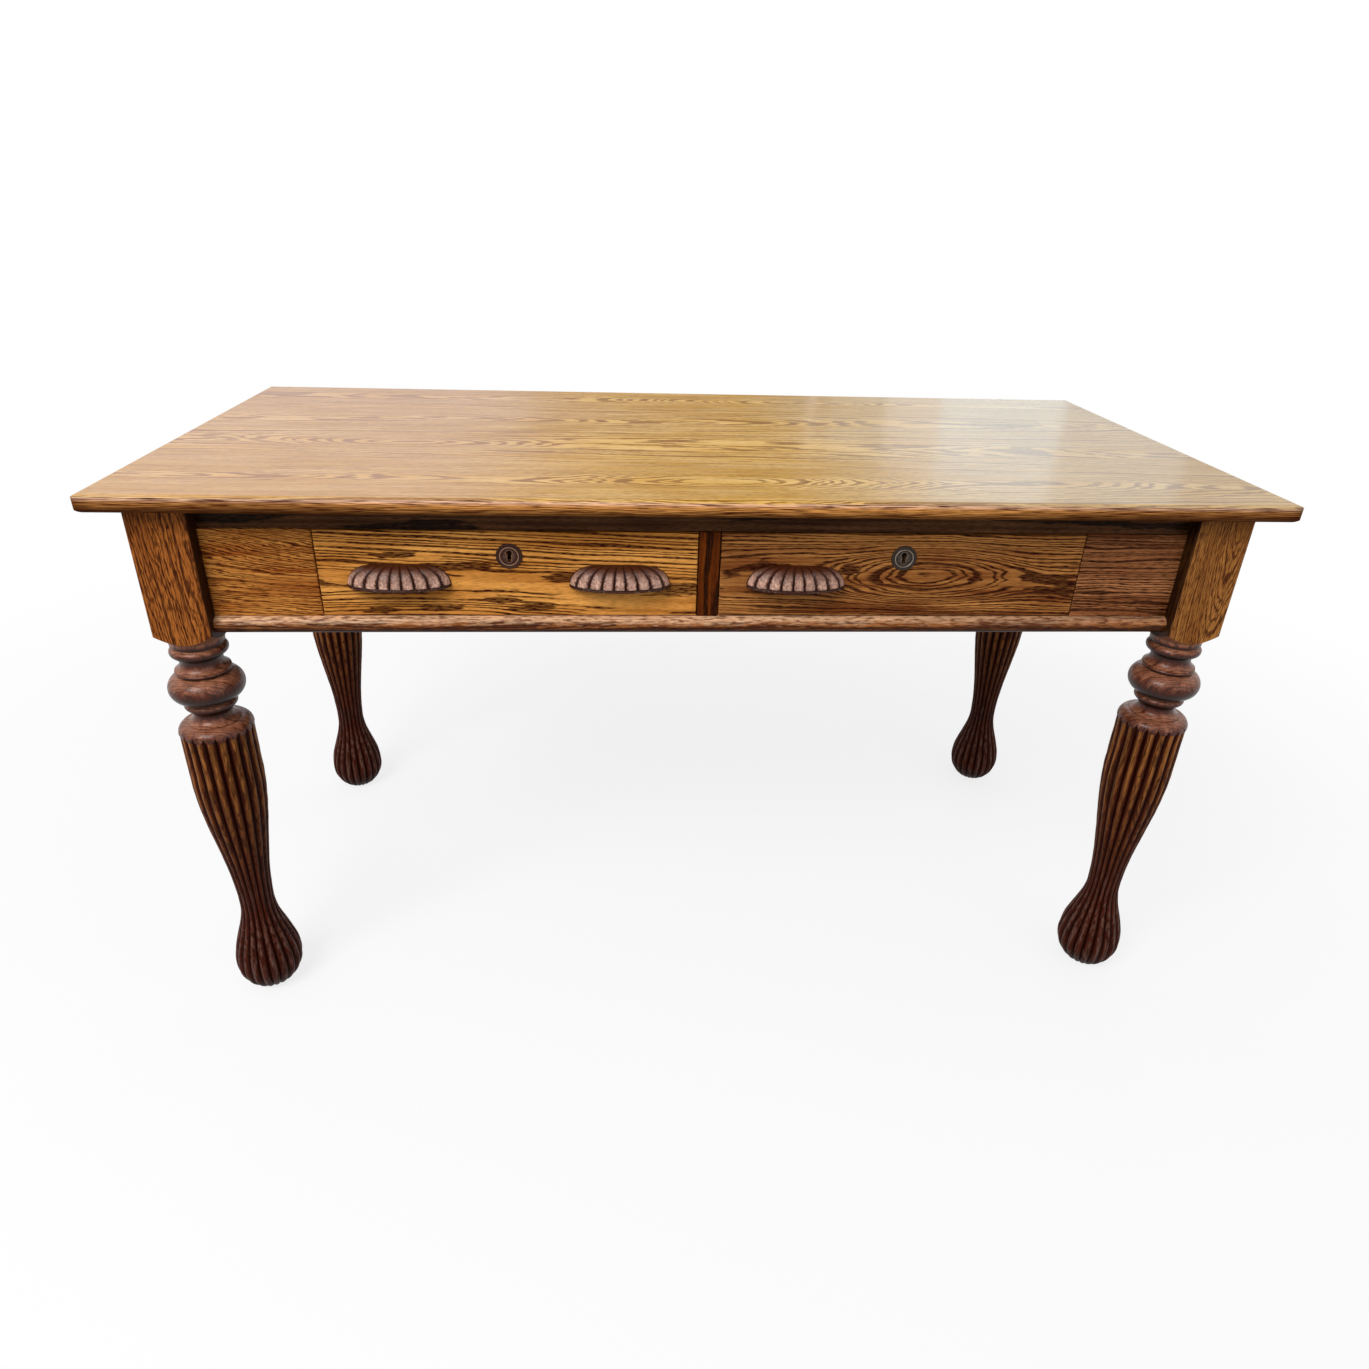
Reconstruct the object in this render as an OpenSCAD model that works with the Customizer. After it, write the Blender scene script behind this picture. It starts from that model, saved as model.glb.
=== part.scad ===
// Library table in oak. A top of four boards stands on four legs, each a square block
// over turned rings and a reeded body on a ball foot. Two drawers sit between end panels,
// over a rounded bottom rail. The front faces -Y, +Z is up, and the origin is on the floor
// under the middle of the table.

/* [Table] */
// Height of the table from the floor
table_height = 762; // [700:1:820]
// Length of the top
top_length = 1414; // [1300:1:1600]
// Depth of the top from front to back
top_depth = 670; // [600:1:760]
// Thickness of the top
top_thickness = 22; // [21:1:30]
// How far the top stands out past the legs at each end
end_overhang = 36; // [15:1:60]
// How far the top stands out past the legs at the front and back
front_overhang = 30; // [15:1:45]

/* [Top] */
// Rounding of the top's upper edge
edge_upper_round = 7; // [3:0.5:8]
// Rounding of the top's lower edge
edge_lower_round = 12; // [6:0.5:12.5]
// Rounding of the top's corners, seen from above
corner_round = 8; // [3:1:20]
// Width of the front board
front_board_width = 185; // [120:1:200]
// Width of the second board
second_board_width = 158; // [100:1:180]
// Width of the third board
third_board_width = 164; // [100:1:180]

/* [Leg block] */
// Side of the square block at the top of each leg
block_size = 70; // [60:1:80]
// How far the block reaches below the bottom rail
block_drop = 9; // [6:1:30]
// Rounding of the block's upright edges
block_edge_round = 2; // [1:0.5:4]
// Rise of the turned shoulder that takes off the block's lower corners
shoulder_rise = 12; // [8:1:20]

/* [Leg turnings] */
// Radius of the fillet under the block
fillet_radius = 32; // [30:0.5:34]
// Height of the fillet under the block
fillet_height = 10; // [6:0.5:12]
// Radius at the bottom of the sharp grooves
quirk_radius = 29; // [26:0.5:30]
// Height of the groove over the upper bead
quirk_height = 3; // [2:0.5:4]
// Radius of the upper bead
bead_radius = 34.5; // [32:0.5:38]
// Height of the upper bead
bead_height = 13; // [8:0.5:14]
// Least radius of the upper cove
cove_radius = 25.5; // [23:0.5:26.5]
// Radius of the cutter that sweeps the upper cove
cove_cutter = 12; // [11:0.5:16]
// Radius of the lip under the upper cove
lip_radius = 33.5; // [32:0.5:36]
// Height of the lip under the upper cove
lip_height = 5; // [3:0.5:6]
// Height of the groove over the bulb
bulb_groove = 1.5; // [1:0.5:4]
// Radius of the bulb
bulb_radius = 45.5; // [42:0.5:50]
// Height of the bulb
bulb_height = 37; // [30:1:40]
// Height of the groove between the bulb and the collar
collar_groove = 2; // [1:0.5:4]
// Radius of the collar under the bulb
collar_radius = 32; // [29:0.5:36]
// Height of the collar under the bulb
collar_height = 10; // [7:0.5:12]
// Least radius of the neck between the collar and the dome
neck_radius = 23.5; // [20:0.5:24]
// Radius of the cutter that sweeps the neck
neck_cutter = 11; // [9:0.5:14]
// Radius at which the neck meets the incised line
flare_radius = 32; // [30:0.5:34]
// Height of the incised line over the dome
line_height = 1.2; // [0.8:0.1:2]
// Height of the dome at the top of the reeds
dome_height = 12; // [10:0.5:13]

/* [Leg reeds] */
// Number of reeds round a leg
reed_count = 20; // [16:1:24]
// Depth of the grooves between reeds where the body is widest
reed_depth = 4.5; // [2:0.5:6]
// Widest radius of the reeded body
body_radius = 45.2; // [42:0.1:48]
// How far the widest place of the body lies below the top of the reeds
body_drop = 70; // [40:1:100]
// Least radius of the ankle over the foot
ankle_radius = 23.5; // [18:0.5:28]
// Height of the ankle from the floor
ankle_height = 148; // [130:1:170]
// Widest radius of the ball foot
foot_radius = 46; // [40:0.5:50]
// Height of the foot's widest place from the floor
foot_widest = 43; // [35:1:48]
// Height of the ball's lower curve, of which the floor cuts off the lowest part
foot_curve = 50; // [49:1:60]

/* [Frame] */
// Thickness of the aprons, end panels, centre stile and top rail
panel_thickness = 20; // [18:1:24]
// How far the drawer fronts and panels lie behind the faces of the blocks
panel_setback = 18; // [11:1:22]
// Height of the top rail
top_rail_height = 30; // [28:1:40]
// How far the top rail lies behind the drawer fronts
top_rail_recess = 4; // [0:1:5]
// Thickness of the bottom rail
bottom_rail_height = 22; // [20:1:26]
// Depth of the bottom rail from front to back
bottom_rail_depth = 60; // [55:1:62]
// How far the bottom rail stands out in front of the drawer fronts
bottom_rail_projection = 8; // [0:1:11]
// Rounding of the front edges of the drawer fronts, end panels and stile
front_edge_round = 1.5; // [0.5:0.5:3]
// Width of the centre stile
stile_width = 26; // [24:1:40]
// Length of the tenons in the legs
tenon_length = 20; // [12:1:24]
// Thickness of the tenons
tenon_thickness = 10; // [6:1:12]
// Shoulder above and below the tenons of the tall panels
tenon_shoulder = 12; // [8:1:20]
// Thickness of the stile's tenons
stile_tenon_thickness = 6; // [4:0.5:8]
// Length of the short tenons on the stile, runners and kickers
stub_length = 8; // [5:1:10]

/* [Runners] */
// Width of the end runners and kickers
runner_width = 45; // [40:1:60]
// Width of the centre runner and kicker
centre_runner_width = 70; // [66:1:90]
// Thickness of the kickers
kicker_thickness = 18; // [14:1:22]
// Height of the guides on the runners
guide_height = 40; // [20:1:60]
// Length of a drawer stop
stop_length = 40; // [20:1:60]
// Depth of a drawer stop from front to back
stop_depth = 20; // [12:1:30]
// Height of a drawer stop
stop_height = 7; // [5:1:8]
// How far the stops lie from the middle of a drawer
stop_offset = 150; // [100:1:170]

/* [Drawers] */
// Width of the end panels beside the drawers
end_panel_width = 129.5; // [90:0.5:200]
// Height of each drawer opening
opening_height = 110; // [100:1:130]
// Gap round each drawer front
drawer_gap = 1.2; // [0.8:0.1:2]
// Running clearance under the drawer sides and behind the drawer fronts
run_gap = 0.3; // [0.3:0.1:0.6]
// Thickness of the drawer fronts
front_thickness = 20; // [18:1:22]
// Free space between the drawers and the back apron
drawer_back_space = 54; // [10:1:120]
// Thickness of the drawer sides
side_thickness = 12; // [10:1:14]
// Thickness of the drawer backs
back_thickness = 12; // [10:1:14]
// How far the drawer sides lie below the top of the front
side_drop = 3; // [0:1:8]
// Thickness of the drawer bottoms
bottom_thickness = 6; // [5:0.5:8]
// How far the drawer bottom lies above the lower edge of the sides
bottom_rise = 11; // [10:1:14]
// Depth of the grooves that hold the drawer bottom
groove_depth = 5; // [3:0.5:6]
// Number of dovetails at each corner of a drawer
dovetail_count = 4; // [3:1:5]
// Wood left in front of the dovetails in the drawer front
dovetail_lap = 5; // [4:0.5:8]
// Widening of a dovetail over its length, as a part of that length
dovetail_slope = 0.16; // [0.1:0.01:0.2]

/* [Pulls] */
// Length of a pull
pull_length = 124; // [110:1:140]
// Height of a pull
pull_height = 28; // [24:1:34]
// How far a pull stands out of the drawer front
pull_projection = 26; // [22:1:32]
// Number of lobes on a pull
pull_lobes = 9; // [7:1:11]
// Depth of the grooves between the lobes
pull_groove = 2.2; // [1:0.1:3]
// Height of the rim under the lobes
pull_rim = 3; // [2:0.5:4]
// Depth of the groove between the rim and the lobes
pull_rim_groove = 1.2; // [0.5:0.1:2]
// Wood round the finger hollow of a pull, at the front and top
pull_wall = 6; // [5:0.5:8]
// Wood between the finger hollow and the drawer front
pull_back_wall = 3; // [2:0.5:4]
// Wood at each end of the finger hollow
pull_end_wall = 16; // [14:1:20]
// Height of a pull's flat lower side over the lower edge of the drawer front
pull_rise = 39; // [30:1:50]
// How far each pull lies from the middle of its drawer
pull_offset = 133; // [110:1:150]

/* [Locks] */
// Radius of the escutcheon
escutcheon_radius = 16; // [14:0.5:20]
// How far the escutcheon's rim stands out
escutcheon_rim = 2.5; // [1.5:0.5:3.5]
// How far the escutcheon is let into the drawer front
escutcheon_inset = 3; // [2:0.5:4]
// Height of the keyhole's round part over the lower edge of the drawer front
key_rise = 81; // [78:1:84]
// Radius of the keyhole's round part
key_radius = 3.5; // [3:0.1:4]
// Width of the keyhole's slot
key_slot = 4.6; // [4.4:0.1:5]
// Length of the keyhole's slot below the middle of the round part
key_drop = 11; // [9:1:12]
// Width of the lock case
case_width = 60; // [56:1:70]
// Height of the lock case
case_height = 46; // [46:1:50]
// Depth of the lock case
case_depth = 9; // [8.5:0.5:10]
// Thickness of the case's plates
case_wall = 1.5; // [1.2:0.1:1.6]
// Width of the bolt
bolt_width = 30; // [24:1:32]
// Height of the bolt
bolt_height = 18; // [16:1:19]
// Height of the bolt's wide foot
bolt_foot = 5; // [4:0.5:6]
// How far the bolt rises when it is locked
bolt_travel = 8; // [6:0.5:9]

/* [Fastenings] */
// Radius of the shank of the wood screws
screw_radius = 2; // [1.8:0.1:2.2]
// Length of the screws that hold the top
top_screw_length = 28; // [24:1:29]
// Length of a top button
button_length = 40; // [30:1:50]
// Depth of a top button from the apron
button_depth = 36; // [30:1:40]
// Thickness of a top button
button_thickness = 16; // [14:1:18]
// Thickness of the button's tongue
button_tongue = 7; // [6:0.5:7]
// Gap round tenons, dovetails and let-in pieces
joint_gap = 0.2; // [0.1:0.05:0.3]
// Gap round the shanks of screws
screw_gap = 0.05; // [0.03:0.01:0.1]

/* [Hidden] */
$fn = 64;

LEFT = -1;
RIGHT = 1;
FRONT = -1;
BACK = 1;
// Cuts run this far past the faces they open
past = 1;

oak = "#a8702f";
oak_top = "#c08a52";
oak_dark = "#5a3420";
pine = "#c9a26a";
brass = "#9a7b3c";
steel = "#8a8a88";

// Heights
underside = table_height - top_thickness;
opening_top = underside - top_rail_height;
opening_bottom = opening_top - opening_height;
rail_bottom = opening_bottom - bottom_rail_height;
turned_top = rail_bottom - block_drop;
apron_height = underside - rail_bottom;

// Places of the legs and of the faces between them
leg_x = top_length / 2 - end_overhang - block_size / 2;
leg_y = top_depth / 2 - front_overhang - block_size / 2;
inner_x = leg_x - block_size / 2;
inner_y = leg_y - block_size / 2;
front_y = -(leg_y + block_size / 2 - panel_setback);
back_y = -front_y;
side_x = leg_x + block_size / 2 - panel_setback;
apron_inner_y = back_y - panel_thickness;
apron_inner_x = side_x - panel_thickness;
panel_mid_y = front_y + panel_thickness / 2;
top_rail_y = front_y + top_rail_recess;
rail_front_y = front_y - bottom_rail_projection;
rail_back_y = rail_front_y + bottom_rail_depth;

// Turned rings, from the top down
bead_top = turned_top - fillet_height - quirk_height;
cove_top = bead_top - bead_height;
bead_core = bead_radius - bead_height / 2;
cove_rise = sqrt(pow(cove_cutter, 2) - pow(cove_radius + cove_cutter - bead_core, 2));
cove_fall = sqrt(pow(cove_cutter, 2) - pow(cove_radius + cove_cutter - lip_radius, 2));
lip_top = cove_top - cove_rise - cove_fall;
bulb_top = lip_top - lip_height - bulb_groove;
collar_top = bulb_top - bulb_height - collar_groove;
neck_top = collar_top - collar_height;
collar_core = collar_radius - collar_height / 2;
neck_rise = sqrt(pow(neck_cutter, 2) - pow(neck_radius + neck_cutter - collar_core, 2));
neck_fall = sqrt(pow(neck_cutter, 2) - pow(neck_radius + neck_cutter - flare_radius, 2));
line_top = neck_top - neck_rise - neck_fall;
dome_top = line_top - line_height;
dome_bottom = dome_top - dome_height;
// The dome wraps this much of the reeds' upper end
dome_wrap = 2;
dome_skin = 0.3;
reed_top = dome_bottom + dome_wrap / 2;
body_height = reed_top - body_drop;

// Drawers
opening_outer_x = inner_x - end_panel_width;
opening_width = opening_outer_x - stile_width / 2;
drawer_x = stile_width / 2 + opening_width / 2;
drawer_half = opening_width / 2 - drawer_gap;
front_bottom = opening_bottom + drawer_gap;
front_top = opening_top - drawer_gap;
front_back_y = front_y + front_thickness;
side_bottom = opening_bottom + run_gap;
side_top = front_top - side_drop;
drawer_end_y = apron_inner_y - drawer_back_space;
bottom_z = side_bottom + bottom_rise;
back_bottom = bottom_z + bottom_thickness + joint_gap;
back_drop = 4;
back_top = side_top - back_drop;
back_face_y = drawer_end_y - back_thickness;
tail_reach = front_thickness - dovetail_lap;

// Pulls and their screws
pull_half = pull_length / 2;
pull_z = front_bottom + pull_rise;
pull_points = 4;
// Angles over the lower side at which the rows of the lobes and of the hollow lie
lobe_rises = [20, 35, 50, 65, 78];
hollow_rises = [0, 30, 55, 75];
pull_screw_x = pull_half - 11;
pull_screw_z = pull_z + 7;
pull_screw_bite = 8;

// Locks
key_z = front_bottom + key_rise;
bolt_gap = 0.3;
bolt_thickness = case_depth - 2 * case_wall - 2 * bolt_gap;
bolt_top = front_top - bolt_gap;
bolt_bottom = bolt_top - bolt_height;
bolt_mid_y = front_back_y - case_depth / 2;
foot_width = bolt_width + 8;
cavity_width = foot_width + 2 * bolt_gap;
cavity_bottom = front_top - case_height + case_wall + 1;
cavity_top = front_top - 3;
talon_radius = 6;
lock_screw_radius = 1.5;
lock_screw_length = 14;
lock_screw_x = (cavity_width / 2 + case_width / 2) / 2;
lock_screw_rows = [front_top - 8, front_top - case_height + 8];

// Screws
head_ratio = 2;
head_height = 3;
slot_width = 1;
slot_depth = 1.2;
counterbore_depth = 14;
rail_screw_spread = 110;
rail_screw_x = [drawer_x - rail_screw_spread, drawer_x + rail_screw_spread];
side_button_y = 110;
back_button_x = drawer_x;
button_bottom = underside - button_thickness;
button_tongue_length = stub_length;
button_screw_reach = button_depth / 2;
button_head_z = button_bottom;
bottom_screw_spread = drawer_half - 60;
bottom_screw_length = 22;

// A box from its middle, made larger all round by a gap
module block(middle, size, gap = 0) {
    translate(middle) cube(size + 2 * [gap, gap, gap], center = true);
}

// A countersunk screw that points up, with its head's flat face at z = 0
module screw(length, radius, slotted = true) {
    difference() {
        union() {
            cylinder(h = head_height, r1 = radius * head_ratio, r2 = radius);
            cylinder(h = length - head_height, r = radius);
            translate([0, 0, length - head_height]) cylinder(h = head_height, r1 = radius, r2 = radius / 4);
        }
        if (slotted) {
            translate([0, 0, slot_depth / 2 - past / 2])
                cube([radius * head_ratio * 2 + past, slot_width, slot_depth + past], center = true);
        }
    }
}

// The hole that a screw sits in
module screw_hole(length, radius) {
    cylinder(h = head_height, r1 = radius * head_ratio + screw_gap, r2 = radius + screw_gap);
    cylinder(h = length + screw_gap, r = radius + screw_gap);
    translate([0, 0, -past]) cylinder(h = past + 0.01, r = radius * head_ratio + screw_gap);
}

// What a rounded edge takes off a corner at the origin of a quadrant
module corner_waste(round) {
    difference() {
        square(round + past);
        circle(round);
    }
}

// A board that stands with its front at y = 0, and has rounded edges round its front face
module eased_board(size) {
    intersection() {
        rotate([90, 0, 90]) linear_extrude(size.x) difference() {
            square([size.y, size.z]);
            for (end = [0, 1]) translate([0, end * size.z]) mirror([0, end])
                translate([front_edge_round, front_edge_round]) rotate(180) corner_waste(front_edge_round);
        }
        linear_extrude(size.z) difference() {
            square([size.x, size.y]);
            for (end = [0, 1]) translate([end * size.x, 0]) mirror([end, 0])
                translate([front_edge_round, front_edge_round]) rotate(180) corner_waste(front_edge_round);
        }
    }
}

// Section across the top, with its rounded edges at both ends
module top_section(width) {
    difference() {
        translate([-width / 2, 0]) square([width, top_thickness]);
        for (side = [0, 1]) mirror([side, 0]) {
            translate([width / 2 - edge_upper_round, top_thickness - edge_upper_round])
                corner_waste(edge_upper_round);
            translate([width / 2 - edge_lower_round, edge_lower_round]) mirror([0, 1])
                corner_waste(edge_lower_round);
        }
    }
}

// A rectangle round the origin with rounded corners
module rounded_outline(size, round) {
    difference() {
        square(size, center = true);
        for (x = [0, 1], y = [0, 1]) mirror([x, 0]) mirror([0, y])
            translate([size.x / 2 - round, size.y / 2 - round]) corner_waste(round);
    }
}

module whole_top() {
    translate([0, 0, underside]) intersection() {
        translate([-top_length / 2, 0, 0]) rotate([90, 0, 90])
            linear_extrude(top_length) top_section(top_depth);
        translate([0, top_depth / 2, 0]) rotate([90, 0, 0])
            linear_extrude(top_depth) top_section(top_length);
        linear_extrude(top_thickness) rounded_outline([top_length, top_depth], corner_round);
    }
}

// One board of the top, from the front glue line at y_low to the next at y_high
module top_board(y_low, y_high) {
    color(oak_top) difference() {
        intersection() {
            whole_top();
            translate([-top_length, y_low, underside - past])
                cube([2 * top_length, y_high - y_low, top_thickness + 2 * past]);
        }
        top_screw_places() screw_hole(top_screw_length, screw_radius);
    }
}

first_seam = -top_depth / 2 + front_board_width;
second_seam = first_seam + second_board_width;
third_seam = second_seam + third_board_width;

module top_front_board() {
    top_board(-top_depth / 2 - past, first_seam);
}

module top_second_board() {
    top_board(first_seam, second_seam);
}

module top_third_board() {
    top_board(second_seam, third_seam);
}

module top_back_board() {
    top_board(third_seam, top_depth / 2 + past);
}

// Half of a ring's section: a half round on a core
module bead_section(radius, height, top) {
    translate([0, top - height]) square([radius - height / 2, height]);
    translate([radius - height / 2, top - height / 2]) circle(d = height);
}

// Half of a hollow ring's section, swept by a round cutter, that runs into the ring over it
module cove_section(least, cutter, rise, fall, wide, top) {
    difference() {
        translate([0, top - rise - fall]) square([wide, rise + fall + past]);
        translate([least + cutter, top - rise]) circle(cutter);
    }
}

// The turned rings between the block and the reeds
module turnings() {
    rotate_extrude() difference() {
        union() {
            translate([0, turned_top - fillet_height]) square([fillet_radius, fillet_height]);
            translate([0, bead_top - past]) square([quirk_radius, quirk_height + 2 * past]);
            bead_section(bead_radius, bead_height, bead_top);
            cove_section(cove_radius, cove_cutter, cove_rise, cove_fall, lip_radius, cove_top);
            translate([0, lip_top - lip_height]) square([lip_radius - lip_height / 2, lip_height + past]);
            translate([lip_radius - lip_height / 2, lip_top - lip_height / 2]) circle(d = lip_height);
            translate([0, bulb_top - past]) square([quirk_radius, bulb_groove + 2 * past]);
            bead_section(bulb_radius, bulb_height, bulb_top);
            translate([0, collar_top - past]) square([quirk_radius, collar_groove + 2 * past]);
            bead_section(collar_radius, collar_height, collar_top);
            cove_section(neck_radius, neck_cutter, neck_rise, neck_fall, flare_radius, neck_top);
            translate([0, line_top - line_height - past])
                square([flare_radius - line_height, line_height + 2 * past]);
            translate([body_radius + dome_skin - dome_height, dome_bottom]) circle(dome_height);
            translate([0, dome_bottom]) square([body_radius + dome_skin - dome_height, dome_height]);
            translate([0, dome_bottom - dome_wrap]) square([body_radius + dome_skin, dome_wrap]);
        }
        translate([0, dome_bottom - dome_wrap - 2 * dome_height])
            square([body_radius * 2, 2 * dome_height]);
    }
}

// Radius over the crests of the reeds, at a height from the floor
function reed_radius(z) =
    z < foot_widest ? foot_radius * sqrt(1 - pow((foot_widest - z) / foot_curve, 2)) :
    z < ankle_height ? blend(foot_radius, ankle_radius, (z - foot_widest) / (ankle_height - foot_widest)) :
    z < body_height ? blend(ankle_radius, body_radius, (z - ankle_height) / (body_height - ankle_height)) :
    body_radius;

// A smooth passage from one radius to the next
function blend(a, b, t) = a + (b - a) * (1 - cos(180 * t)) / 2;

// Heights of the rings of points that carry the reeds
foot_steps = 3;
ankle_steps = 5;
body_steps = 6;
reed_fade = 10;
reed_heights = concat(
    [for (i = [0 : foot_steps - 1]) foot_widest * i / foot_steps],
    [for (i = [0 : ankle_steps - 1]) foot_widest + (ankle_height - foot_widest) * i / ankle_steps],
    [for (i = [0 : body_steps]) ankle_height + (body_height - ankle_height) * i / body_steps],
    [reed_top - reed_fade, reed_top]
);
reed_points = 3;

// The reeds' grooves run out at the dome
function groove_depth_at(z) = z > reed_top - reed_fade / 2 ? 0 : reed_depth * reed_radius(z) / body_radius;

// The reeded body, ankle and ball foot
module reeded_body() {
    round_count = reed_count * reed_points;
    ring_count = len(reed_heights);
    points = [
        for (z = reed_heights, i = [0 : round_count - 1])
            let (across = 2 * (i % reed_points) / reed_points - 1,
                 radius = reed_radius(z) - groove_depth_at(z) * pow(across, 2),
                 angle = 360 * i / round_count)
            [radius * cos(angle), radius * sin(angle), z]
    ];
    sides = [
        for (ring = [0 : ring_count - 2], i = [0 : round_count - 1])
            let (low = ring * round_count, high = low + round_count, next = (i + 1) % round_count)
            each [[low + i, high + i, low + next], [low + next, high + i, high + next]]
    ];
    bottom = [[for (i = [0 : round_count - 1]) i]];
    top = [[for (i = [round_count - 1 : -1 : 0]) (ring_count - 1) * round_count + i]];
    polyhedron(points = points, faces = concat(sides, bottom, top), convexity = 4);
}

// The square block, with its lower corners turned off
module leg_block() {
    corner = block_size / 2 * sqrt(2) + past;
    face = fillet_radius + past / 2;
    intersection() {
        translate([0, 0, turned_top - fillet_height / 3])
            linear_extrude(underside - turned_top + fillet_height / 3)
                rounded_outline([block_size, block_size], block_edge_round);
        rotate_extrude() polygon([
            [0, turned_top - fillet_height / 3],
            [face, turned_top - fillet_height / 3],
            [corner, turned_top + shoulder_rise],
            [corner, underside],
            [0, underside]
        ]);
    }
}

module leg(end, face) {
    color(oak_dark) difference() {
        translate([end * leg_x, face * leg_y, 0]) {
            leg_block();
            turnings();
            reeded_body();
        }
        apron_tenon(end, face, joint_gap);
        if (face == FRONT) {
            top_rail_tenon(end, joint_gap);
            bottom_rail_tenon(end, joint_gap);
            end_panel_tenon(end, joint_gap);
        }
        if (face == BACK) {
            back_apron_tenon(end, joint_gap);
        }
    }
}

// Tenons, each with the gap that its mortise adds
module apron_tenon(end, face, gap = 0) {
    block([end * (side_x - panel_thickness / 2), face * (inner_y + tenon_length / 2),
           rail_bottom + apron_height / 2],
          [tenon_thickness, tenon_length, apron_height - 2 * tenon_shoulder], gap);
}

module back_apron_tenon(end, gap = 0) {
    block([end * (inner_x + tenon_length / 2), back_y - panel_thickness / 2, rail_bottom + apron_height / 2],
          [tenon_length, tenon_thickness, apron_height - 2 * tenon_shoulder], gap);
}

module top_rail_tenon(end, gap = 0) {
    block([end * (inner_x + tenon_length / 2), top_rail_y + panel_thickness / 2,
           opening_top + top_rail_height / 2],
          [tenon_length, tenon_thickness, top_rail_height - tenon_shoulder], gap);
}

module bottom_rail_tenon(end, gap = 0) {
    block([end * (inner_x + tenon_length / 2), (rail_front_y + rail_back_y) / 2,
           rail_bottom + bottom_rail_height / 2],
          [tenon_length, bottom_rail_depth / 2, tenon_thickness], gap);
}

module end_panel_tenon(end, gap = 0) {
    block([end * (inner_x + tenon_length / 2), panel_mid_y, (opening_top + opening_bottom) / 2],
          [tenon_length, tenon_thickness, opening_height - 2 * tenon_shoulder], gap);
}

// The stile's tenons lie between the top rail's face and the kicker's tenon
module stile_tenon(z, gap = 0) {
    block([0, top_rail_y + (panel_thickness - stub_length) / 2, z],
          [stile_width - tenon_shoulder, stile_tenon_thickness, stub_length], gap);
}

// Short tenons at both ends of a runner or kicker
module stub_tenon(x, width, front_end, z, gap = 0) {
    for (y = [front_end - stub_length / 2, apron_inner_y + stub_length / 2])
        block([x, y, z], [width - tenon_shoulder, stub_length, tenon_thickness / 2 + stub_length / 2], gap);
}

runner_z = rail_bottom + bottom_rail_height / 2;
kicker_z = opening_top + kicker_thickness / 2;
runner_mid_x = opening_outer_x;
rail_inner_y = top_rail_y + panel_thickness;

module runner_tenons(gap = 0) {
    stub_tenon(-runner_mid_x, runner_width, rail_back_y, runner_z, gap);
    stub_tenon(0, centre_runner_width, rail_back_y, runner_z, gap);
    stub_tenon(runner_mid_x, runner_width, rail_back_y, runner_z, gap);
}

module kicker_tenons(gap = 0) {
    stub_tenon(-runner_mid_x, runner_width, rail_inner_y, kicker_z, gap);
    stub_tenon(0, centre_runner_width, rail_inner_y, kicker_z, gap);
    stub_tenon(runner_mid_x, runner_width, rail_inner_y, kicker_z, gap);
}

module top_rail() {
    color(oak_dark) difference() {
        union() {
            translate([-inner_x, top_rail_y, opening_top])
                cube([2 * inner_x, panel_thickness, top_rail_height]);
            top_rail_tenon(LEFT);
            top_rail_tenon(RIGHT);
        }
        stile_tenon(opening_top + stub_length / 2, joint_gap);
        kicker_tenons(joint_gap);
        for (end = [LEFT, RIGHT]) {
            bolt_mortise(end);
            for (x = rail_screw_x) translate([end * x, top_rail_y + panel_thickness / 2, opening_top]) {
                translate([0, 0, -past])
                    cylinder(h = counterbore_depth + past, r = screw_radius * head_ratio + joint_gap);
            }
        }
        top_screw_places() screw_hole(top_screw_length, screw_radius);
    }
}

// The slot over a drawer that its bolt rises into
module bolt_mortise(end) {
    slot_height = bolt_travel + drawer_gap;
    block([end * drawer_x, bolt_mid_y, opening_top + slot_height / 2 - past / 2],
          [bolt_width + 4, bolt_thickness + 2.6, slot_height + past]);
}

module bottom_rail() {
    nose = bottom_rail_height / 2;
    color(oak) difference() {
        union() {
            translate([-inner_x, rail_front_y + nose, rail_bottom])
                cube([2 * inner_x, bottom_rail_depth - nose, bottom_rail_height]);
            translate([-inner_x, rail_front_y + nose, rail_bottom + nose]) rotate([0, 90, 0])
                cylinder(h = 2 * inner_x, r = nose);
            bottom_rail_tenon(LEFT);
            bottom_rail_tenon(RIGHT);
        }
        stile_tenon(opening_bottom - stub_length / 2, joint_gap);
        runner_tenons(joint_gap);
    }
}

module end_panel(end) {
    color(oak) {
        translate([end > 0 ? opening_outer_x : -inner_x, front_y, opening_bottom])
            eased_board([end_panel_width, panel_thickness, opening_height]);
        end_panel_tenon(end);
    }
}

module centre_stile() {
    color(oak_dark) {
        translate([-stile_width / 2, front_y, opening_bottom])
            eased_board([stile_width, panel_thickness, opening_height]);
        stile_tenon(opening_top + stub_length / 2);
        stile_tenon(opening_bottom - stub_length / 2);
    }
}

module side_apron(end) {
    color(oak) difference() {
        union() {
            translate([end * (side_x - panel_thickness / 2) - panel_thickness / 2, -inner_y, rail_bottom])
                cube([panel_thickness, 2 * inner_y, apron_height]);
            apron_tenon(end, FRONT);
            apron_tenon(end, BACK);
        }
        button_tongues(joint_gap);
    }
}

module back_apron() {
    color(oak) difference() {
        union() {
            translate([-inner_x, apron_inner_y, rail_bottom])
                cube([2 * inner_x, panel_thickness, apron_height]);
            back_apron_tenon(LEFT);
            back_apron_tenon(RIGHT);
        }
        runner_tenons(joint_gap);
        kicker_tenons(joint_gap);
        button_tongues(joint_gap);
    }
}

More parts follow.
